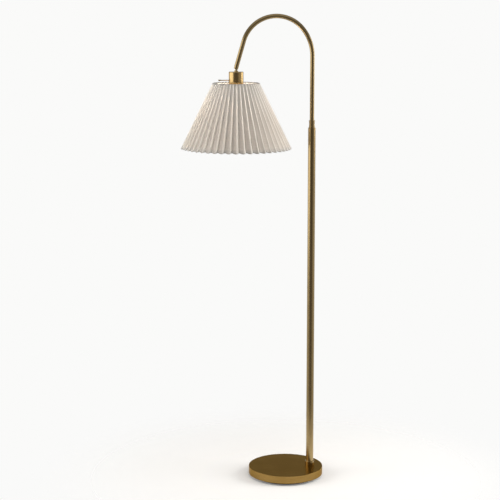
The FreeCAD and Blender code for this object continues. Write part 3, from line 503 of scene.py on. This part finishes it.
def powder_coat():
    """Steel wire and strip, powder coated off-white: an even satin skin with a slight orange peel."""
    return grained("powder_coated_wire", "#DAD6CC", "#E4E1D8", 1.5, (0.38, 0.5), bump=0.04)


def rolled_aluminium():
    """Aluminium bulb cap, rolled from sheet: soft grey and satin."""
    return grained("rolled_aluminium", "#B9BABB", "#CBCCCC", 1.2, (0.3, 0.42), metallic=1.0, bump=0.02)


def black_glass():
    """Vitrite, the black glass poured into a bulb's cap: glossy with small pits."""
    return grained("black_vitrite", "#08080B", "#121217", 2.2, (0.08, 0.2), bump=0.05, ior=1.52)


def lit_material(name, base, strength, roughness, blotch):
    """A surface that glows: base colour, light strength, and blotch as the size in mm of its unevenness."""
    material, tree = new_material(name)
    if tree is None:
        return material
    at = add(tree, "TexCoord").outputs["Object"]
    noise = stretched_noise(tree, at, (1.0 / (blotch * MM),) * 3)
    tone = blend_colours(tree, noise, linear(base), colours().bulb_light)
    shader = add(
        tree,
        "BsdfPrincipled",
        {
            "Base Color": tone,
            "Roughness": roughness,
            "IOR": 1.52,
            "Emission Color": rgba(colours().bulb_light),
            "Emission Strength": strength,
        },
    )
    show(tree, shader)
    return material


def opal_glass():
    """Soda glass, blown and etched inside, with the lamp lit: a smooth skin that glows all over."""
    return lit_material("etched_bulb_glass", "#F6F0E6", 10.0, 0.22, 18.0)


def phosphor():
    """Filament rods under yellow phosphor, lit: they glow brighter than the glass round them."""
    return lit_material("phosphor_filament", "#F3D27A", 9.0, 0.5, 2.0)


def pleated_cloth():
    """Linen and cotton mix, plain woven, pressed into pleats: matt, and it lets light through.

    The narrow faces are one layer thick and pass more of the bulb's light; they are also painted near white, which
    is painted light.  Where tucks and the hem back the cloth it passes less light and is painted darker, which is
    painted shade.  The slub yarns run up the cloth and across it, drawn 2 mm wide and about 50 mm long, where real
    ones are 0.5 mm wide, so that they show.
    """
    material, tree = new_material("pleated_linen_mix")
    if tree is None:
        return material
    at = add(tree, "TexCoord").outputs["UV"]
    warp = stretched_noise(tree, at, (500.0, 20.0, 1.0), detail=2.0)
    weft = stretched_noise(tree, at, (14.0, 500.0, 1.0), detail=2.0)
    yarns = add(tree, "Math", {0: warp, 1: weft}, operation="ADD").outputs[0]
    share = map_range(tree, yarns, 0.85, 1.25, 0.0, 1.0)
    woven = blend_colours(tree, share, colours().cloth, colours().cloth_slub)
    fold = add(tree, "Attribute", attribute_name="open_fold_and_painted_light").outputs["Fac"]
    backing_and_painted_shade = add(tree, "Attribute", attribute_name="covered_and_painted_shade").outputs["Fac"]
    # Painted shade: the cloth is painted darker where tucks and the hem back it.
    shaded = blend_colours(tree, backing_and_painted_shade, woven, colours().cloth_painted_shade)
    # Painted light: the narrow one-layer faces are painted near white.
    tone = blend_colours(tree, fold, shaded, colours().cloth_open_painted_light)
    relief = add(tree, "Bump", {"Height": yarns, "Strength": 0.3, "Distance": 0.1 * MM})
    inputs = {"Base Color": tone, "Roughness": 0.9, "IOR": 1.45, "Sheen Weight": 0.15}
    front = add(tree, "BsdfPrincipled", {**inputs, "Normal": relief.outputs[0]})
    through_cloth = add(tree, "BsdfTranslucent", {"Color": tone, "Normal": relief.outputs[0]})
    open_share = add(tree, "Math", {0: fold, 1: backing_and_painted_shade}, operation="SUBTRACT").outputs[0]
    passed = map_range(tree, open_share, -1.0, 1.0, 0.06, 0.9)
    cloth = add(tree, "MixShader", {0: passed, 1: front.outputs[0], 2: through_cloth.outputs[0]})
    show(tree, cloth)
    return material


# ---- base and pole -----------------------------------------------------------
def make_base():
    """Spun cover: a flat top, a rounded edge, a straight rim and a rolled hem."""
    s = sizes()
    radius = half_width("base_cover")
    foot, top = low("base_cover")[2], high("base_cover")[2]
    wall, edge = s.cover_wall, s.cover_edge
    profile = outline(
        (0, top - wall),
        arc((radius - 2 * wall, top - 2 * wall), wall, 90, 0, 4),
        arc((radius - wall / 2, foot + wall / 2), wall / 2, 180, 360, 8),
        arc((radius - edge, top - edge), edge, 0, 90, 8),
        (0, top),
    )
    cover = turned("spun_cover", profile, closed=False, steps=2 * s.turn_steps)
    grommet = middle("cord_grommet")
    out = math.atan2(grommet[1], grommet[0])
    hole_reach = 12 * MM
    hole = rod_at("grommet_hole", s.lead_hole, -hole_reach, hole_reach)
    turn = np.array([[0, -math.sin(out), math.cos(out)], [0, math.cos(out), math.sin(out)], [-1, 0, 0]])
    reach = radius / math.hypot(*grommet[:2])
    moved(hole, turn, (grommet[0] * reach, grommet[1] * reach, grommet[2]))
    cut_away(cover, hole)
    stands_hard(cover, spun_brass(), "base_cover")
    make_pad()


def rod_at(name, radius, foot, top, steps=48):
    """Closed round bar on the Z axis."""
    profile = outline((0, foot), (radius, foot), (radius, top), (0, top))
    return turned(name, profile, closed=False, steps=steps)


def make_pad():
    """Foam pad under the weight, its cut edge slightly rounded."""
    radius = half_width("base_pad")
    top = high("base_pad")[2]
    edge = 0.6 * MM
    profile = outline(
        (0, 0),
        arc((radius - edge, edge), edge, -90, 0, 4),
        arc((radius - edge, top - edge), edge, 0, 90, 4),
        (0, top),
    )
    pad = turned("foam_pad", profile, closed=False)
    stands_hard(pad, foam_rubber(), "base_pad")


def make_pole():
    """Foot ring and the two tubes, chamfered where they meet."""
    s = sizes()
    radius = half_width("lower_pole")
    bore = radius - s.tube_wall
    brass = antique_brass()
    seam = s.seam_chamfer
    for name, node, chamfer_foot in (("lower_tube", "lower_pole", 0.0), ("upper_tube", "upper_pole", seam)):
        foot, top = low(node)[2], high(node)[2]
        profile = outline(
            (bore, foot),
            (radius - chamfer_foot, foot),
            (radius, foot + chamfer_foot + 0.01 * MM),
            (radius, top - seam),
            (radius - seam, top),
            (bore, top),
        )
        stands_hard(turned(name, profile, POLE_X), brass, node)
    ring, edge = half_width("pole_foot_ring"), 1.2 * MM
    bore, chamfer = radius + 0.02 * MM, 0.3 * MM
    foot, top = low("pole_foot_ring")[2], high("pole_foot_ring")[2]
    profile = outline(
        (bore, foot),
        (ring - chamfer, foot),
        (ring, foot + chamfer),
        arc((ring - edge, top - edge), edge, 0, 90, 6),
        (bore, top),
    )
    stands_hard(turned("foot_ring", profile, POLE_X), brass, "pole_foot_ring")


def make_collar():
    """Lock collar: two straight rims and a waist drawn in on a circle's arc between them."""
    s = sizes()
    rim = half_width("lock_collar")
    top = high("lock_collar")[2]
    foot = high("upper_pole")[2] + 0.3 * MM
    spigot = low("lock_collar")[2]
    bore = ARM_RADIUS + RUNNING_GAP
    thread = rim - 0.85 * MM
    edge, chamfer, chamfer_rise = 0.5 * MM, 0.35 * MM, 0.2 * MM
    half = (top - foot) / 2 - s.collar_rim
    bend = (half**2 + s.collar_dip**2) / (2 * s.collar_dip)
    open_angle = math.degrees(math.asin(half / bend))
    waist_centre = (rim - s.collar_dip + bend, (top + foot) / 2)
    profile = outline(
        (bore, spigot),
        (thread, spigot),
        (thread, foot),
        (rim - edge, foot),
        (rim, foot + edge),
        (rim, foot + s.collar_rim - chamfer_rise),
        (rim - chamfer, foot + s.collar_rim),
        arc(waist_centre, bend, 180 + open_angle, 180 - open_angle, 16)[1:-1],
        (rim - chamfer, top - s.collar_rim),
        (rim, top - s.collar_rim + chamfer_rise),
        (rim, top - edge),
        (rim - edge, top),
        (bore, top),
    )
    collar = turned("waisted_collar", profile, POLE_X)
    stands_hard(collar, antique_brass(), "lock_collar")


# ---- arm ---------------------------------------------------------------------
def circle_point(centre, radius, degrees):
    """Point centre + radius (cos a, 0, sin a) of the XZ plane."""
    a = np.radians(degrees)
    return centre + radius * np.stack([np.cos(a), 0 * a, np.sin(a)], axis=-1)


def arm_path():
    """Centre line of the arm and the unit direction of its end.

    It runs upright, round the shoulder's arc and the crown's arc, which are tangent, and straight on
    to the ball.  The crown's top gives the height where the first bend starts.
    """
    s = sizes()
    first, second = math.degrees(s.shoulder_turn), math.degrees(s.crown_turn)
    rise = (s.shoulder_radius - s.crown_radius) * math.sin(s.shoulder_turn) + s.crown_radius
    bend = np.array([POLE_X, 0, high("arm_tube")[2] - ARM_RADIUS - rise])
    foot = np.array([POLE_X, 0, low("arm_tube")[2]])
    shoulder = bend - np.array([s.shoulder_radius, 0, 0])
    turn = circle_point(shoulder, s.shoulder_radius, np.linspace(0, first, 32))
    crown = circle_point(turn[-1], -s.crown_radius, np.array(first))
    over = circle_point(crown, s.crown_radius, np.linspace(first, first + second, 96))
    run = BALL - over[-1]
    direction = run / np.linalg.norm(run)
    end = BALL - direction * s.housing_above
    upright = np.linspace(foot, bend, 12)[:-1]
    leaning_run = np.linspace(over[-1], end, 8)[1:]
    return np.concatenate([upright, turn, over[1:], leaning_run]), direction


def make_arm():
    """Arm tube: a round wall carried along the arm's path."""
    path, _ = arm_path()
    tube = swept("bent_arm_tube", path, (ARM_RADIUS, ARM_RADIUS - sizes().tube_wall))
    material = antique_brass("arm", lines=(900.0, 6.0, 1.0), around=True)
    stands_for(tube, material, "arm_tube")


def make_swivel():
    """Housing with its slot, and the ball with its neck."""
    s = sizes()
    _, direction = arm_path()
    lean = math.degrees(math.atan2(-direction[0], -direction[2]))
    radius, bore = ARM_RADIUS, ARM_RADIUS - s.tube_wall
    lip = bore - 0.6 * MM
    lip_angle = math.degrees(math.acos(lip / bore))
    edge = 0.3 * MM
    profile = outline(
        (lip + 0.9 * MM, -s.housing_below),
        (radius - edge, -s.housing_below),
        (radius, edge - s.housing_below),
        (radius, s.housing_above - 0.15 * MM),
        (radius - 0.15 * MM, s.housing_above),
        (bore, s.housing_above),
        arc((0, 0), bore, 0, -lip_angle, 8),
        (lip, -bore * math.sin(math.radians(lip_angle)) - 0.2 * MM),
    )
    housing = turned("slotted_housing", profile)
    half = s.neck_radius + 0.3 * MM
    end = s.slot_reach - half
    mouth = -2 * s.housing_below
    stadium = outline(arc((0, end), half, 0, 180, 16), (-half, mouth), (half, mouth))
    cut_away(housing, slot_cutter(stadium, 2 * radius))
    moved(housing, leaning(lean), BALL)
    brass = antique_brass()
    stands_hard(housing, brass, "swivel_housing")
    ball, neck_bore = half_width("swivel_ball"), s.neck_radius - 1.3 * MM
    start = -math.degrees(math.acos(s.neck_radius / ball))
    stop = math.degrees(math.acos(neck_bore / ball))
    profile = outline(
        (neck_bore, low("swivel_ball")[2]),
        (s.neck_radius, low("swivel_ball")[2]),
        arc((0, BALL[2]), ball, start, stop, 24),
    )
    stands_hard(turned("ball_and_neck", profile, HEAD_X), brass, "swivel_ball")


def slot_cutter(shape, depth):
    """Prism of a closed (y, z) outline from the axis out along -X, its two ends closed to a point."""
    rims = np.stack([np.concatenate([np.full((len(shape), 1), x), shape], axis=1) for x in (0.0, -depth)])
    ends = np.broadcast_to(rims.mean(axis=1, keepdims=True), rims.shape)
    return surface("slot_cutter", np.stack([ends[1], rims[1], rims[0], ends[0]]))


# ---- head --------------------------------------------------------------------
def make_head():
    """Dome and cup over the socket."""
    s = sizes()
    bore = s.neck_radius + RUNNING_GAP
    ledge = 1 * MM
    dome, top = half_width("neck_dome"), high("neck_dome")[2]
    rise = top - CUP_TOP
    u = np.linspace(0, np.pi / 2, 9)
    out = bore + ledge + (dome - bore - ledge) * np.cos(u)
    bulge = np.stack([out, CUP_TOP + rise * np.sin(u)], axis=-1)
    profile = outline((bore, CUP_TOP), bulge, (bore, top))
    brass = antique_brass()
    stands_hard(turned("neck_dome_cap", profile, HEAD_X), brass, "neck_dome")
    radius, foot = half_width("socket_cup"), low("socket_cup")[2]
    wall, edge = s.cup_wall, s.cup_edge
    profile = outline(
        (radius - wall, foot),
        (radius, foot),
        arc((radius - edge, CUP_TOP - edge), edge, 0, 90, 8),
        (bore, CUP_TOP),
        (bore, CUP_TOP - wall),
        arc((radius - edge, CUP_TOP - edge), edge - wall, 90, 0, 6),
    )
    cup = turned("socket_shell", profile, HEAD_X)
    hole_radius, hole_reach = 1.55 * MM, 4 * MM
    hole = rod_at("stem_hole", hole_radius, -hole_reach, hole_reach)
    moved(hole, leaning(-90), (HEAD_X - radius, 0, STEM_Z))
    cut_away(cup, hole)
    stands_hard(cup, antique_brass("cup"), "socket_cup")


def make_switch():
    """Switch stem with its rounded tip, which has two turned grips."""
    stem, tip = half_width("switch_stem"), half_width("switch_tip")
    inner, joint, end = high("switch_stem")[0], high("switch_tip")[0], low("switch_tip")[0]
    brass = antique_brass("switch")
    across = leaning(-90)
    bar = rod_at("switch_rod", stem, HEAD_X - inner, HEAD_X - joint)
    moved(bar, across, (HEAD_X, 0, STEM_Z))
    stands_hard(bar, brass, "switch_stem")
    long_tip = joint - end
    edge, groove = 0.8 * MM, 0.35 * MM
    groove_foot, groove_top = 0.40 * long_tip, 0.56 * long_tip
    profile = outline(
        (0, 0),
        arc((tip - edge, edge), edge, -90, 0, 5),
        (tip, groove_foot),
        (tip - groove, groove_foot + groove),
        (tip - groove, groove_top - groove),
        (tip, groove_top),
        arc((tip - edge, long_tip - edge), edge, 0, 90, 5),
        (0, long_tip),
    )
    knob = turned("switch_knob_tip", profile, closed=False, steps=48)
    moved(knob, across, (joint, 0, STEM_Z))
    stands_hard(knob, brass, "switch_tip")


def make_bulb():
    """Bulb glass: a ball, and a cone tangent to it that runs up into a straight neck."""
    s = sizes()
    radius = half_width("bulb_glass")
    neck = half_width("bulb_cap") - 0.4 * MM
    foot, top = low("bulb_glass")[2], high("bulb_glass")[2]
    centre = foot + radius
    neck_level = low("socket_body")[2] - 0.2 * MM
    rise = neck_level - centre
    touch = math.degrees(math.asin(radius / math.hypot(neck, rise)) - math.atan2(neck, rise))
    wall = s.glass_wall
    profile = outline(
        (0, foot + wall),
        arc((0, centre), radius - wall, -88, touch, 40),
        (neck - wall, neck_level),
        (neck - wall, top),
        (neck, top),
        (neck, neck_level),
        arc((0, centre), radius, touch, -88, 40),
        (0, foot),
    )
    bulb = turned("bulb_envelope", profile[::-1], HEAD_X, closed=False)
    stands_for(bulb, opal_glass(), "bulb_glass")


# ---- shade -------------------------------------------------------------------
VALLEY = 0.8  # share of a pleat's depth at which the cloth turns in its valley
RIDGE_AT = 0.8  # share of a pleat's pitch at which its ridge stands
TUCK_LIMIT = 0.75  # widest tuck, as a share of the pitch
HEM_BEHIND = 0.7 * MM  # how far a hem lies behind the cloth's face


def make_wires():
    """Wire rings: a small circle carried round a large one, (R + r cos v, r sin v) turned about the axis."""
    wire = powder_coat()
    for name, node in (("upper_wire_ring", "shade_top_ring"), ("lower_wire_ring", "shade_bottom_ring")):
        height = middle(node)[2]
        thick = (high(node)[2] - low(node)[2]) / 2
        profile = arc((half_width(node) - thick, height), thick, 0, 360, 12)[:-1]
        stands_hard(turned(name, profile, HEAD_X), wire, node)


def through(place, values):
    """Straight runs through values[0], values[1], ... as place goes 0, 1, ..."""
    return sum(np.clip(1 - np.abs(place - knot), 0, 1) * value for knot, value in enumerate(values))


def pleat_section(place, ridge_at, tuck):
    """One knife pleat across the cloth, as (share of the pitch, share of the depth).

    From place 0 to 1 the wide face rises from the valley to the ridge, slowly and then faster.  From
    1 to 2 the narrow face rounds over and drops to the next valley.  From 2 to 4 the cloth that is
    left over goes on behind the next wide face and returns, as a flat tuck.  It returns through the
    points that it went out by, so the weld leaves one layer there where real cloth has two.
    """
    across = through(place, [0 * tuck, ridge_at, 1 + 0 * tuck, 1 + tuck, 1 + 0 * tuck])
    rising = VALLEY - 0.35 * place - 0.45 * place**4
    falling = VALLEY * (place - 1) ** 2
    behind = through(place - 2, [VALLEY, 1.0, VALLEY])
    inward = np.where(place < 1, rising, np.where(place < 2, falling, behind))
    return across, inward


def make_shade():
    """Pleated cloth: one sheet round the frame, turned in at both edges.

    Rows run down inside the lower hem, round the edge, up the outer face and down inside the upper
    edge, which turns in half a hem.  Columns run round the shade through each pleat's section.  Near
    the upper edge the tuck is held to its limit, so a pleat there takes less cloth.  The ridges waver
    a little, by seeded sines, and the lower edge hangs lower at the ridges than in the valleys.
    """
    s = sizes()
    foot, top = low("shade_fabric")[2], high("shade_fabric")[2]
    wide = half_width("shade_fabric")
    narrow = high("shade_top_ring")[0] - HEAD_X + s.pleat_top
    slant = math.hypot(wide - narrow, top - foot)
    hem = s.hem / slant
    rows = np.concatenate([[hem, 0.1 * hem], np.linspace(0, 1, 48), [1 - 0.1 * hem, 1 - 0.5 * hem]])
    turned_in = np.zeros(len(rows))
    turned_in[[0, 1, -2, -1]] = HEM_BEHIND
    place = np.concatenate([np.linspace(0, 1, 9)[:-1], np.linspace(1, 2, 7)[:-1], np.linspace(2, 4, 5)[:-1]])
    pleat = np.repeat(np.arange(s.pleat_count), len(place))[None, :]
    place = np.tile(place, s.pleat_count)[None, :]
    random = np.random.default_rng(7)
    phase, sway, size = (random.random(s.pleat_count)[pleat] for _ in range(3))
    t = rows[:, None]
    radius = wide + (narrow - wide) * t
    pitch = 2 * np.pi * radius / s.pleat_count
    depth = s.pleat_bottom + (s.pleat_top - s.pleat_bottom) * t
    waver = 0.05 * (size - 0.5) + 0.01 * np.sin(2 * np.pi * (phase + (0.4 + 0.5 * sway) * t))
    ridge_at = RIDGE_AT + waver
    faces = np.hypot(ridge_at * pitch, depth) + np.hypot((1 - ridge_at) * pitch, depth)
    tuck = np.clip((s.pleat_cloth - faces) / 2 / pitch, 0.02, TUCK_LIMIT)
    across, inward = pleat_section(place, ridge_at, tuck)
    turn = s.pleat_first + 2 * np.pi * (pleat + across) / s.pleat_count
    out = radius - depth * inward - turned_in[:, None]
    hang = np.clip(np.abs(across - 0.6) / 0.5, 0, 1) ** 2 * np.exp(-((t / 0.07) ** 2))
    height = foot + (top - foot) * t + s.scallop * hang
    points = np.stack([HEAD_X + out * np.cos(turn), out * np.sin(turn), height], axis=-1)
    # Mask of the narrow one-layer faces: they pass more light and are painted near white, as painted light.
    open_fold_and_painted_light = np.interp(place, [0.86, 0.95, 1.9, 2.1], [0.0, 1.0, 1.0, 0.0]) + 0 * t
    # Mask of cloth backed by tucks or the hem: it passes less light and is painted darker, as painted shade.
    covered_and_painted_shade = np.maximum(np.interp(t, [0.0, hem, 1.3 * hem], [1.0, 1.0, 0.0]), (tuck / TUCK_LIMIT) ** 2)
    marks = [("open_fold_and_painted_light", open_fold_and_painted_light), ("covered_and_painted_shade", covered_and_painted_shade)]
    cloth = surface("pleated_cloth", points, sharp=180.0, marks=marks)
    thickness = cloth.modifiers.new("cloth_thickness", "SOLIDIFY")
    thickness.thickness = s.cloth_thickness
    thickness.offset = -1.0
    stands_for(cloth, pleated_cloth(), "shade_fabric")


# ---- pieces that keep their CAD shape ----------------------------------------
def finish_inner_pieces():
    """Gives each CAD node that still shows the finish of its slot."""
    finishes = {
        "cast_iron": cast_iron,
        "black_plastic": black_plastic,
        "zinc_steel": zinc_steel,
        "turned_brass": bare_brass,
        "nylon": natural_nylon,
        "porcelain": porcelain,
        "wire": powder_coat,
        "bulb_glass": opal_glass,
        "bulb_metal": rolled_aluminium,
        "bulb_black": black_glass,
        "filament": phosphor,
    }
    for node, piece in frame["nodes"].items():
        if SLOT_OF[node] in finishes and not piece.hide_render:
            for place in piece.material_slots:
                place.material = finishes[SLOT_OF[node]]()


# ---- stage -------------------------------------------------------------------
CAMERA_AT = (-0.629, -4.904, 1.636)  # metres
CAMERA_TURN = 5.885  # degrees from +Y towards +X
CAMERA_DIP = 9.725  # degrees below level
CAMERA_LENS = 106.98  # mm
CAMERA_SENSOR = 36.0  # mm
# The room's grey against the share of the way from behind the camera to behind the lamp
ROOM = (
    (0.0, "#5F5B57"),
    (0.05, "#6B6763"),
    (0.15, "#A09D99"),
    (0.4, "#C0BEBB"),
    (0.75, "#D6D5D3"),
    (1.0, "#E4E3E2"),
)


def make_floor():
    """Pale round floor that fades out at its rim: (r cos u, r sin u, 0)."""
    u = np.linspace(0, 2 * np.pi, 96, endpoint=False)
    r = np.array([0.0, 0.5, 1.0, 1.5, 2.0])[:, None]
    points = np.stack([r * np.cos(u), r * np.sin(u), 0 * r * u - 0.1 * MM], axis=-1)
    floor = surface("studio_floor", points[::-1])
    material, tree = new_material("pale_floor")
    at = add(tree, "TexCoord").outputs["Object"]
    out = add(tree, "VectorMath", {0: at}, operation="LENGTH").outputs["Value"]
    fade = add(
        tree,
        "MapRange",
        {"Value": out, "From Min": 0.22, "From Max": 0.9, "To Min": 1.0, "To Max": 0.0},
        interpolation_type="SMOOTHSTEP",
    ).outputs[0]
    pale = rgba(linear("#F7F6F4"))
    matt = add(tree, "BsdfDiffuse", {"Color": pale})
    glow = add(tree, "Emission", {"Color": pale, "Strength": 0.12})
    paint = add(tree, "AddShader", {0: matt.outputs[0], 1: glow.outputs[0]})
    clear = add(tree, "BsdfTransparent")
    show(tree, add(tree, "MixShader", {0: fade, 1: clear.outputs[0], 2: paint.outputs[0]}))
    floor.data.materials.append(material)


def make_world():
    """Pale backdrop for the camera; for light and reflections a room that is dark in front.

    The room's brightness goes with the direction's share along the camera's level view: dark behind
    the camera, mid grey at the sides and pale behind the lamp.  Overhead it is an even grey.
    """
    world = bpy.data.worlds.new("studio")
    world.use_nodes = True
    tree = world.node_tree
    tree.nodes.clear()
    path = add(tree, "LightPath")
    seen = add(tree, "Background", {"Color": rgba(linear("#FAFAF9")), "Strength": 1.0})
    direction = add(tree, "TexCoord").outputs["Generated"]
    view = (math.sin(math.radians(CAMERA_TURN)), math.cos(math.radians(CAMERA_TURN)), 0.0)
    away = add(tree, "VectorMath", {0: direction, 1: view}, operation="DOT_PRODUCT").outputs["Value"]
    bands = add(tree, "ValToRGB", {"Fac": map_range(tree, away, -1.0, 1.0, 0.0, 1.0)})
    stops = bands.color_ramp.elements
    while len(stops) < len(ROOM):
        stops.new(0.5)
    for stop, (share, tone) in zip(stops, ROOM):
        stop.position = share
        stop.color = rgba(linear(tone))
    height = add(tree, "SeparateXYZ", {0: direction}).outputs[2]
    rise = map_range(tree, height, 0.05, 0.3, 0.0, 1.0)
    tone = blend_colours(tree, rise, bands.outputs[0], linear("#929190"))
    room = add(tree, "Background", {"Color": tone, "Strength": 1.0})
    both = add(tree, "MixShader", {0: path.outputs["Is Camera Ray"], 1: room.outputs[0], 2: seen.outputs[0]})
    add(tree, "OutputWorld", {"Surface": both.outputs[0]})
    bpy.context.scene.world = world


def soft_light(name, at, size, power, mirrored=True):
    """Soft box of size (width, height) in metres that looks at the lamp's middle.

    One that isn't mirrored lights the lamp without showing in its metal.
    """
    data = bpy.data.lights.new(name, "AREA")
    data.shape = "RECTANGLE"
    data.size, data.size_y = size
    data.energy = power
    data.color = linear("#FFFDFA")
    light = bpy.data.objects.new(name, data)
    bpy.context.scene.collection.objects.link(light)
    light.location = at
    light.rotation_euler = (Vector((0, 0, 1)) - light.location).to_track_quat("-Z", "Y").to_euler()
    light.visible_glossy = mirrored


def make_lights():
    """Soft boxes at the left, right and overhead, and fill that the metal doesn't show."""
    soft_light("left_box", (-2.6, -0.12, 1.35), (3.2, 2.0), 28.0)
    soft_light("right_box", (2.3, 0.35, 1.6), (0.9, 1.4), 12.0)
    soft_light("top_box", (-0.1, -0.6, 3.7), (3.5, 3.5), 10.0)
    soft_light("left_fill", (-2.6, -0.4, 1.4), (1.2, 2.0), 18.0, mirrored=False)
    soft_light("right_fill", (2.4, -0.6, 1.4), (1.2, 2.0), 45.0, mirrored=False)
    soft_light("front_fill", (1.2, -3.0, 2.6), (2.0, 2.0), 18.0, mirrored=False)
    soft_light("floor_fill", (0.4, -1.2, 3.2), (2.0, 2.0), 11.0, mirrored=False)


def make_camera():
    data = bpy.data.cameras.new("camera")
    data.lens = CAMERA_LENS
    data.sensor_width = CAMERA_SENSOR
    camera = bpy.data.objects.new("camera", data)
    camera.location = CAMERA_AT
    camera.rotation_euler = (math.radians(90 - CAMERA_DIP), 0, -math.radians(CAMERA_TURN))
    bpy.context.scene.collection.objects.link(camera)
    bpy.context.scene.camera = camera


def make_stage():
    bpy.context.scene.view_settings.view_transform = "Standard"
    make_floor()
    make_world()
    make_lights()
    make_camera()


# ---- operators ---------------------------------------------------------------
class FLOORLAMP_OT_base(bpy.types.Operator):
    """Make the spun base cover and the pad under it"""

    bl_idname = "floorlamp.base"
    bl_label = "Base"

    def execute(self, context):
        make_base()
        return {"FINISHED"}


class FLOORLAMP_OT_pole(bpy.types.Operator):
    """Make the pole's two tubes and its foot ring"""

    bl_idname = "floorlamp.pole"
    bl_label = "Pole"

    def execute(self, context):
        make_pole()
        return {"FINISHED"}


class FLOORLAMP_OT_collar(bpy.types.Operator):
    """Make the lock collar on top of the pole"""

    bl_idname = "floorlamp.collar"
    bl_label = "Lock collar"

    def execute(self, context):
        make_collar()
        return {"FINISHED"}


class FLOORLAMP_OT_arm(bpy.types.Operator):
    """Make the bent arm tube"""

    bl_idname = "floorlamp.arm"
    bl_label = "Arm"

    def execute(self, context):
        make_arm()
        return {"FINISHED"}


class FLOORLAMP_OT_swivel(bpy.types.Operator):
    """Make the slotted housing and the ball that turns in it"""

    bl_idname = "floorlamp.swivel"
    bl_label = "Ball swivel"

    def execute(self, context):
        make_swivel()
        return {"FINISHED"}


class FLOORLAMP_OT_head(bpy.types.Operator):
    """Make the dome and the socket cup"""

    bl_idname = "floorlamp.head"
    bl_label = "Socket cup"

    def execute(self, context):
        make_head()
        return {"FINISHED"}


class FLOORLAMP_OT_switch(bpy.types.Operator):
    """Make the rotary switch's stem and tip"""

    bl_idname = "floorlamp.switch"
    bl_label = "Rotary switch"

    def execute(self, context):
        make_switch()
        return {"FINISHED"}


class FLOORLAMP_OT_bulb(bpy.types.Operator):
    """Make the bulb's glass"""

    bl_idname = "floorlamp.bulb"
    bl_label = "Bulb"

    def execute(self, context):
        make_bulb()
        return {"FINISHED"}


class FLOORLAMP_OT_shade(bpy.types.Operator):
    """Make the pleated cloth and its wire rings"""

    bl_idname = "floorlamp.shade"
    bl_label = "Shade"

    def execute(self, context):
        make_wires()
        make_shade()
        return {"FINISHED"}


class FLOORLAMP_OT_inner_pieces(bpy.types.Operator):
    """Give the pieces that keep their CAD shape their finishes"""

    bl_idname = "floorlamp.inner_pieces"
    bl_label = "Inner pieces"

    def execute(self, context):
        finish_inner_pieces()
        return {"FINISHED"}


class FLOORLAMP_OT_stage(bpy.types.Operator):
    """Make the floor, the lights and the camera"""

    bl_idname = "floorlamp.stage"
    bl_label = "Stage"

    def execute(self, context):
        make_stage()
        return {"FINISHED"}


OPERATORS = (
    FLOORLAMP_OT_base,
    FLOORLAMP_OT_pole,
    FLOORLAMP_OT_collar,
    FLOORLAMP_OT_arm,
    FLOORLAMP_OT_swivel,
    FLOORLAMP_OT_head,
    FLOORLAMP_OT_switch,
    FLOORLAMP_OT_bulb,
    FLOORLAMP_OT_shade,
    FLOORLAMP_OT_inner_pieces,
    FLOORLAMP_OT_stage,
)


class FLOORLAMP_PT_panel(bpy.types.Panel):
    """Lists the lamp's operators and sizes"""

    bl_idname = "FLOORLAMP_PT_panel"
    bl_label = "Floor lamp"
    bl_space_type = "VIEW_3D"
    bl_region_type = "UI"
    bl_category = "Floor lamp"

    def draw(self, context):
        for operator in OPERATORS:
            self.layout.operator(operator.bl_idname)
        for group in (context.scene.floor_lamp_sizes, context.scene.floor_lamp_colours):
            for name in group.bl_rna.properties.keys():
                if name not in {"rna_type", "name"}:
                    self.layout.prop(group, name)


CLASSES = (FloorLampSizes, FloorLampColours, *OPERATORS, FLOORLAMP_PT_panel)


def register():
    for made in CLASSES:
        bpy.utils.register_class(made)
    bpy.types.Scene.floor_lamp_sizes = PointerProperty(type=FloorLampSizes)
    bpy.types.Scene.floor_lamp_colours = PointerProperty(type=FloorLampColours)


def unregister():
    del bpy.types.Scene.floor_lamp_colours
    del bpy.types.Scene.floor_lamp_sizes
    for made in reversed(CLASSES):
        bpy.utils.unregister_class(made)


def main():
    register()
    for operator in OPERATORS:
        group, name = operator.bl_idname.split(".")
        getattr(getattr(bpy.ops, group), name)()


if __name__ == "__main__":
    main()
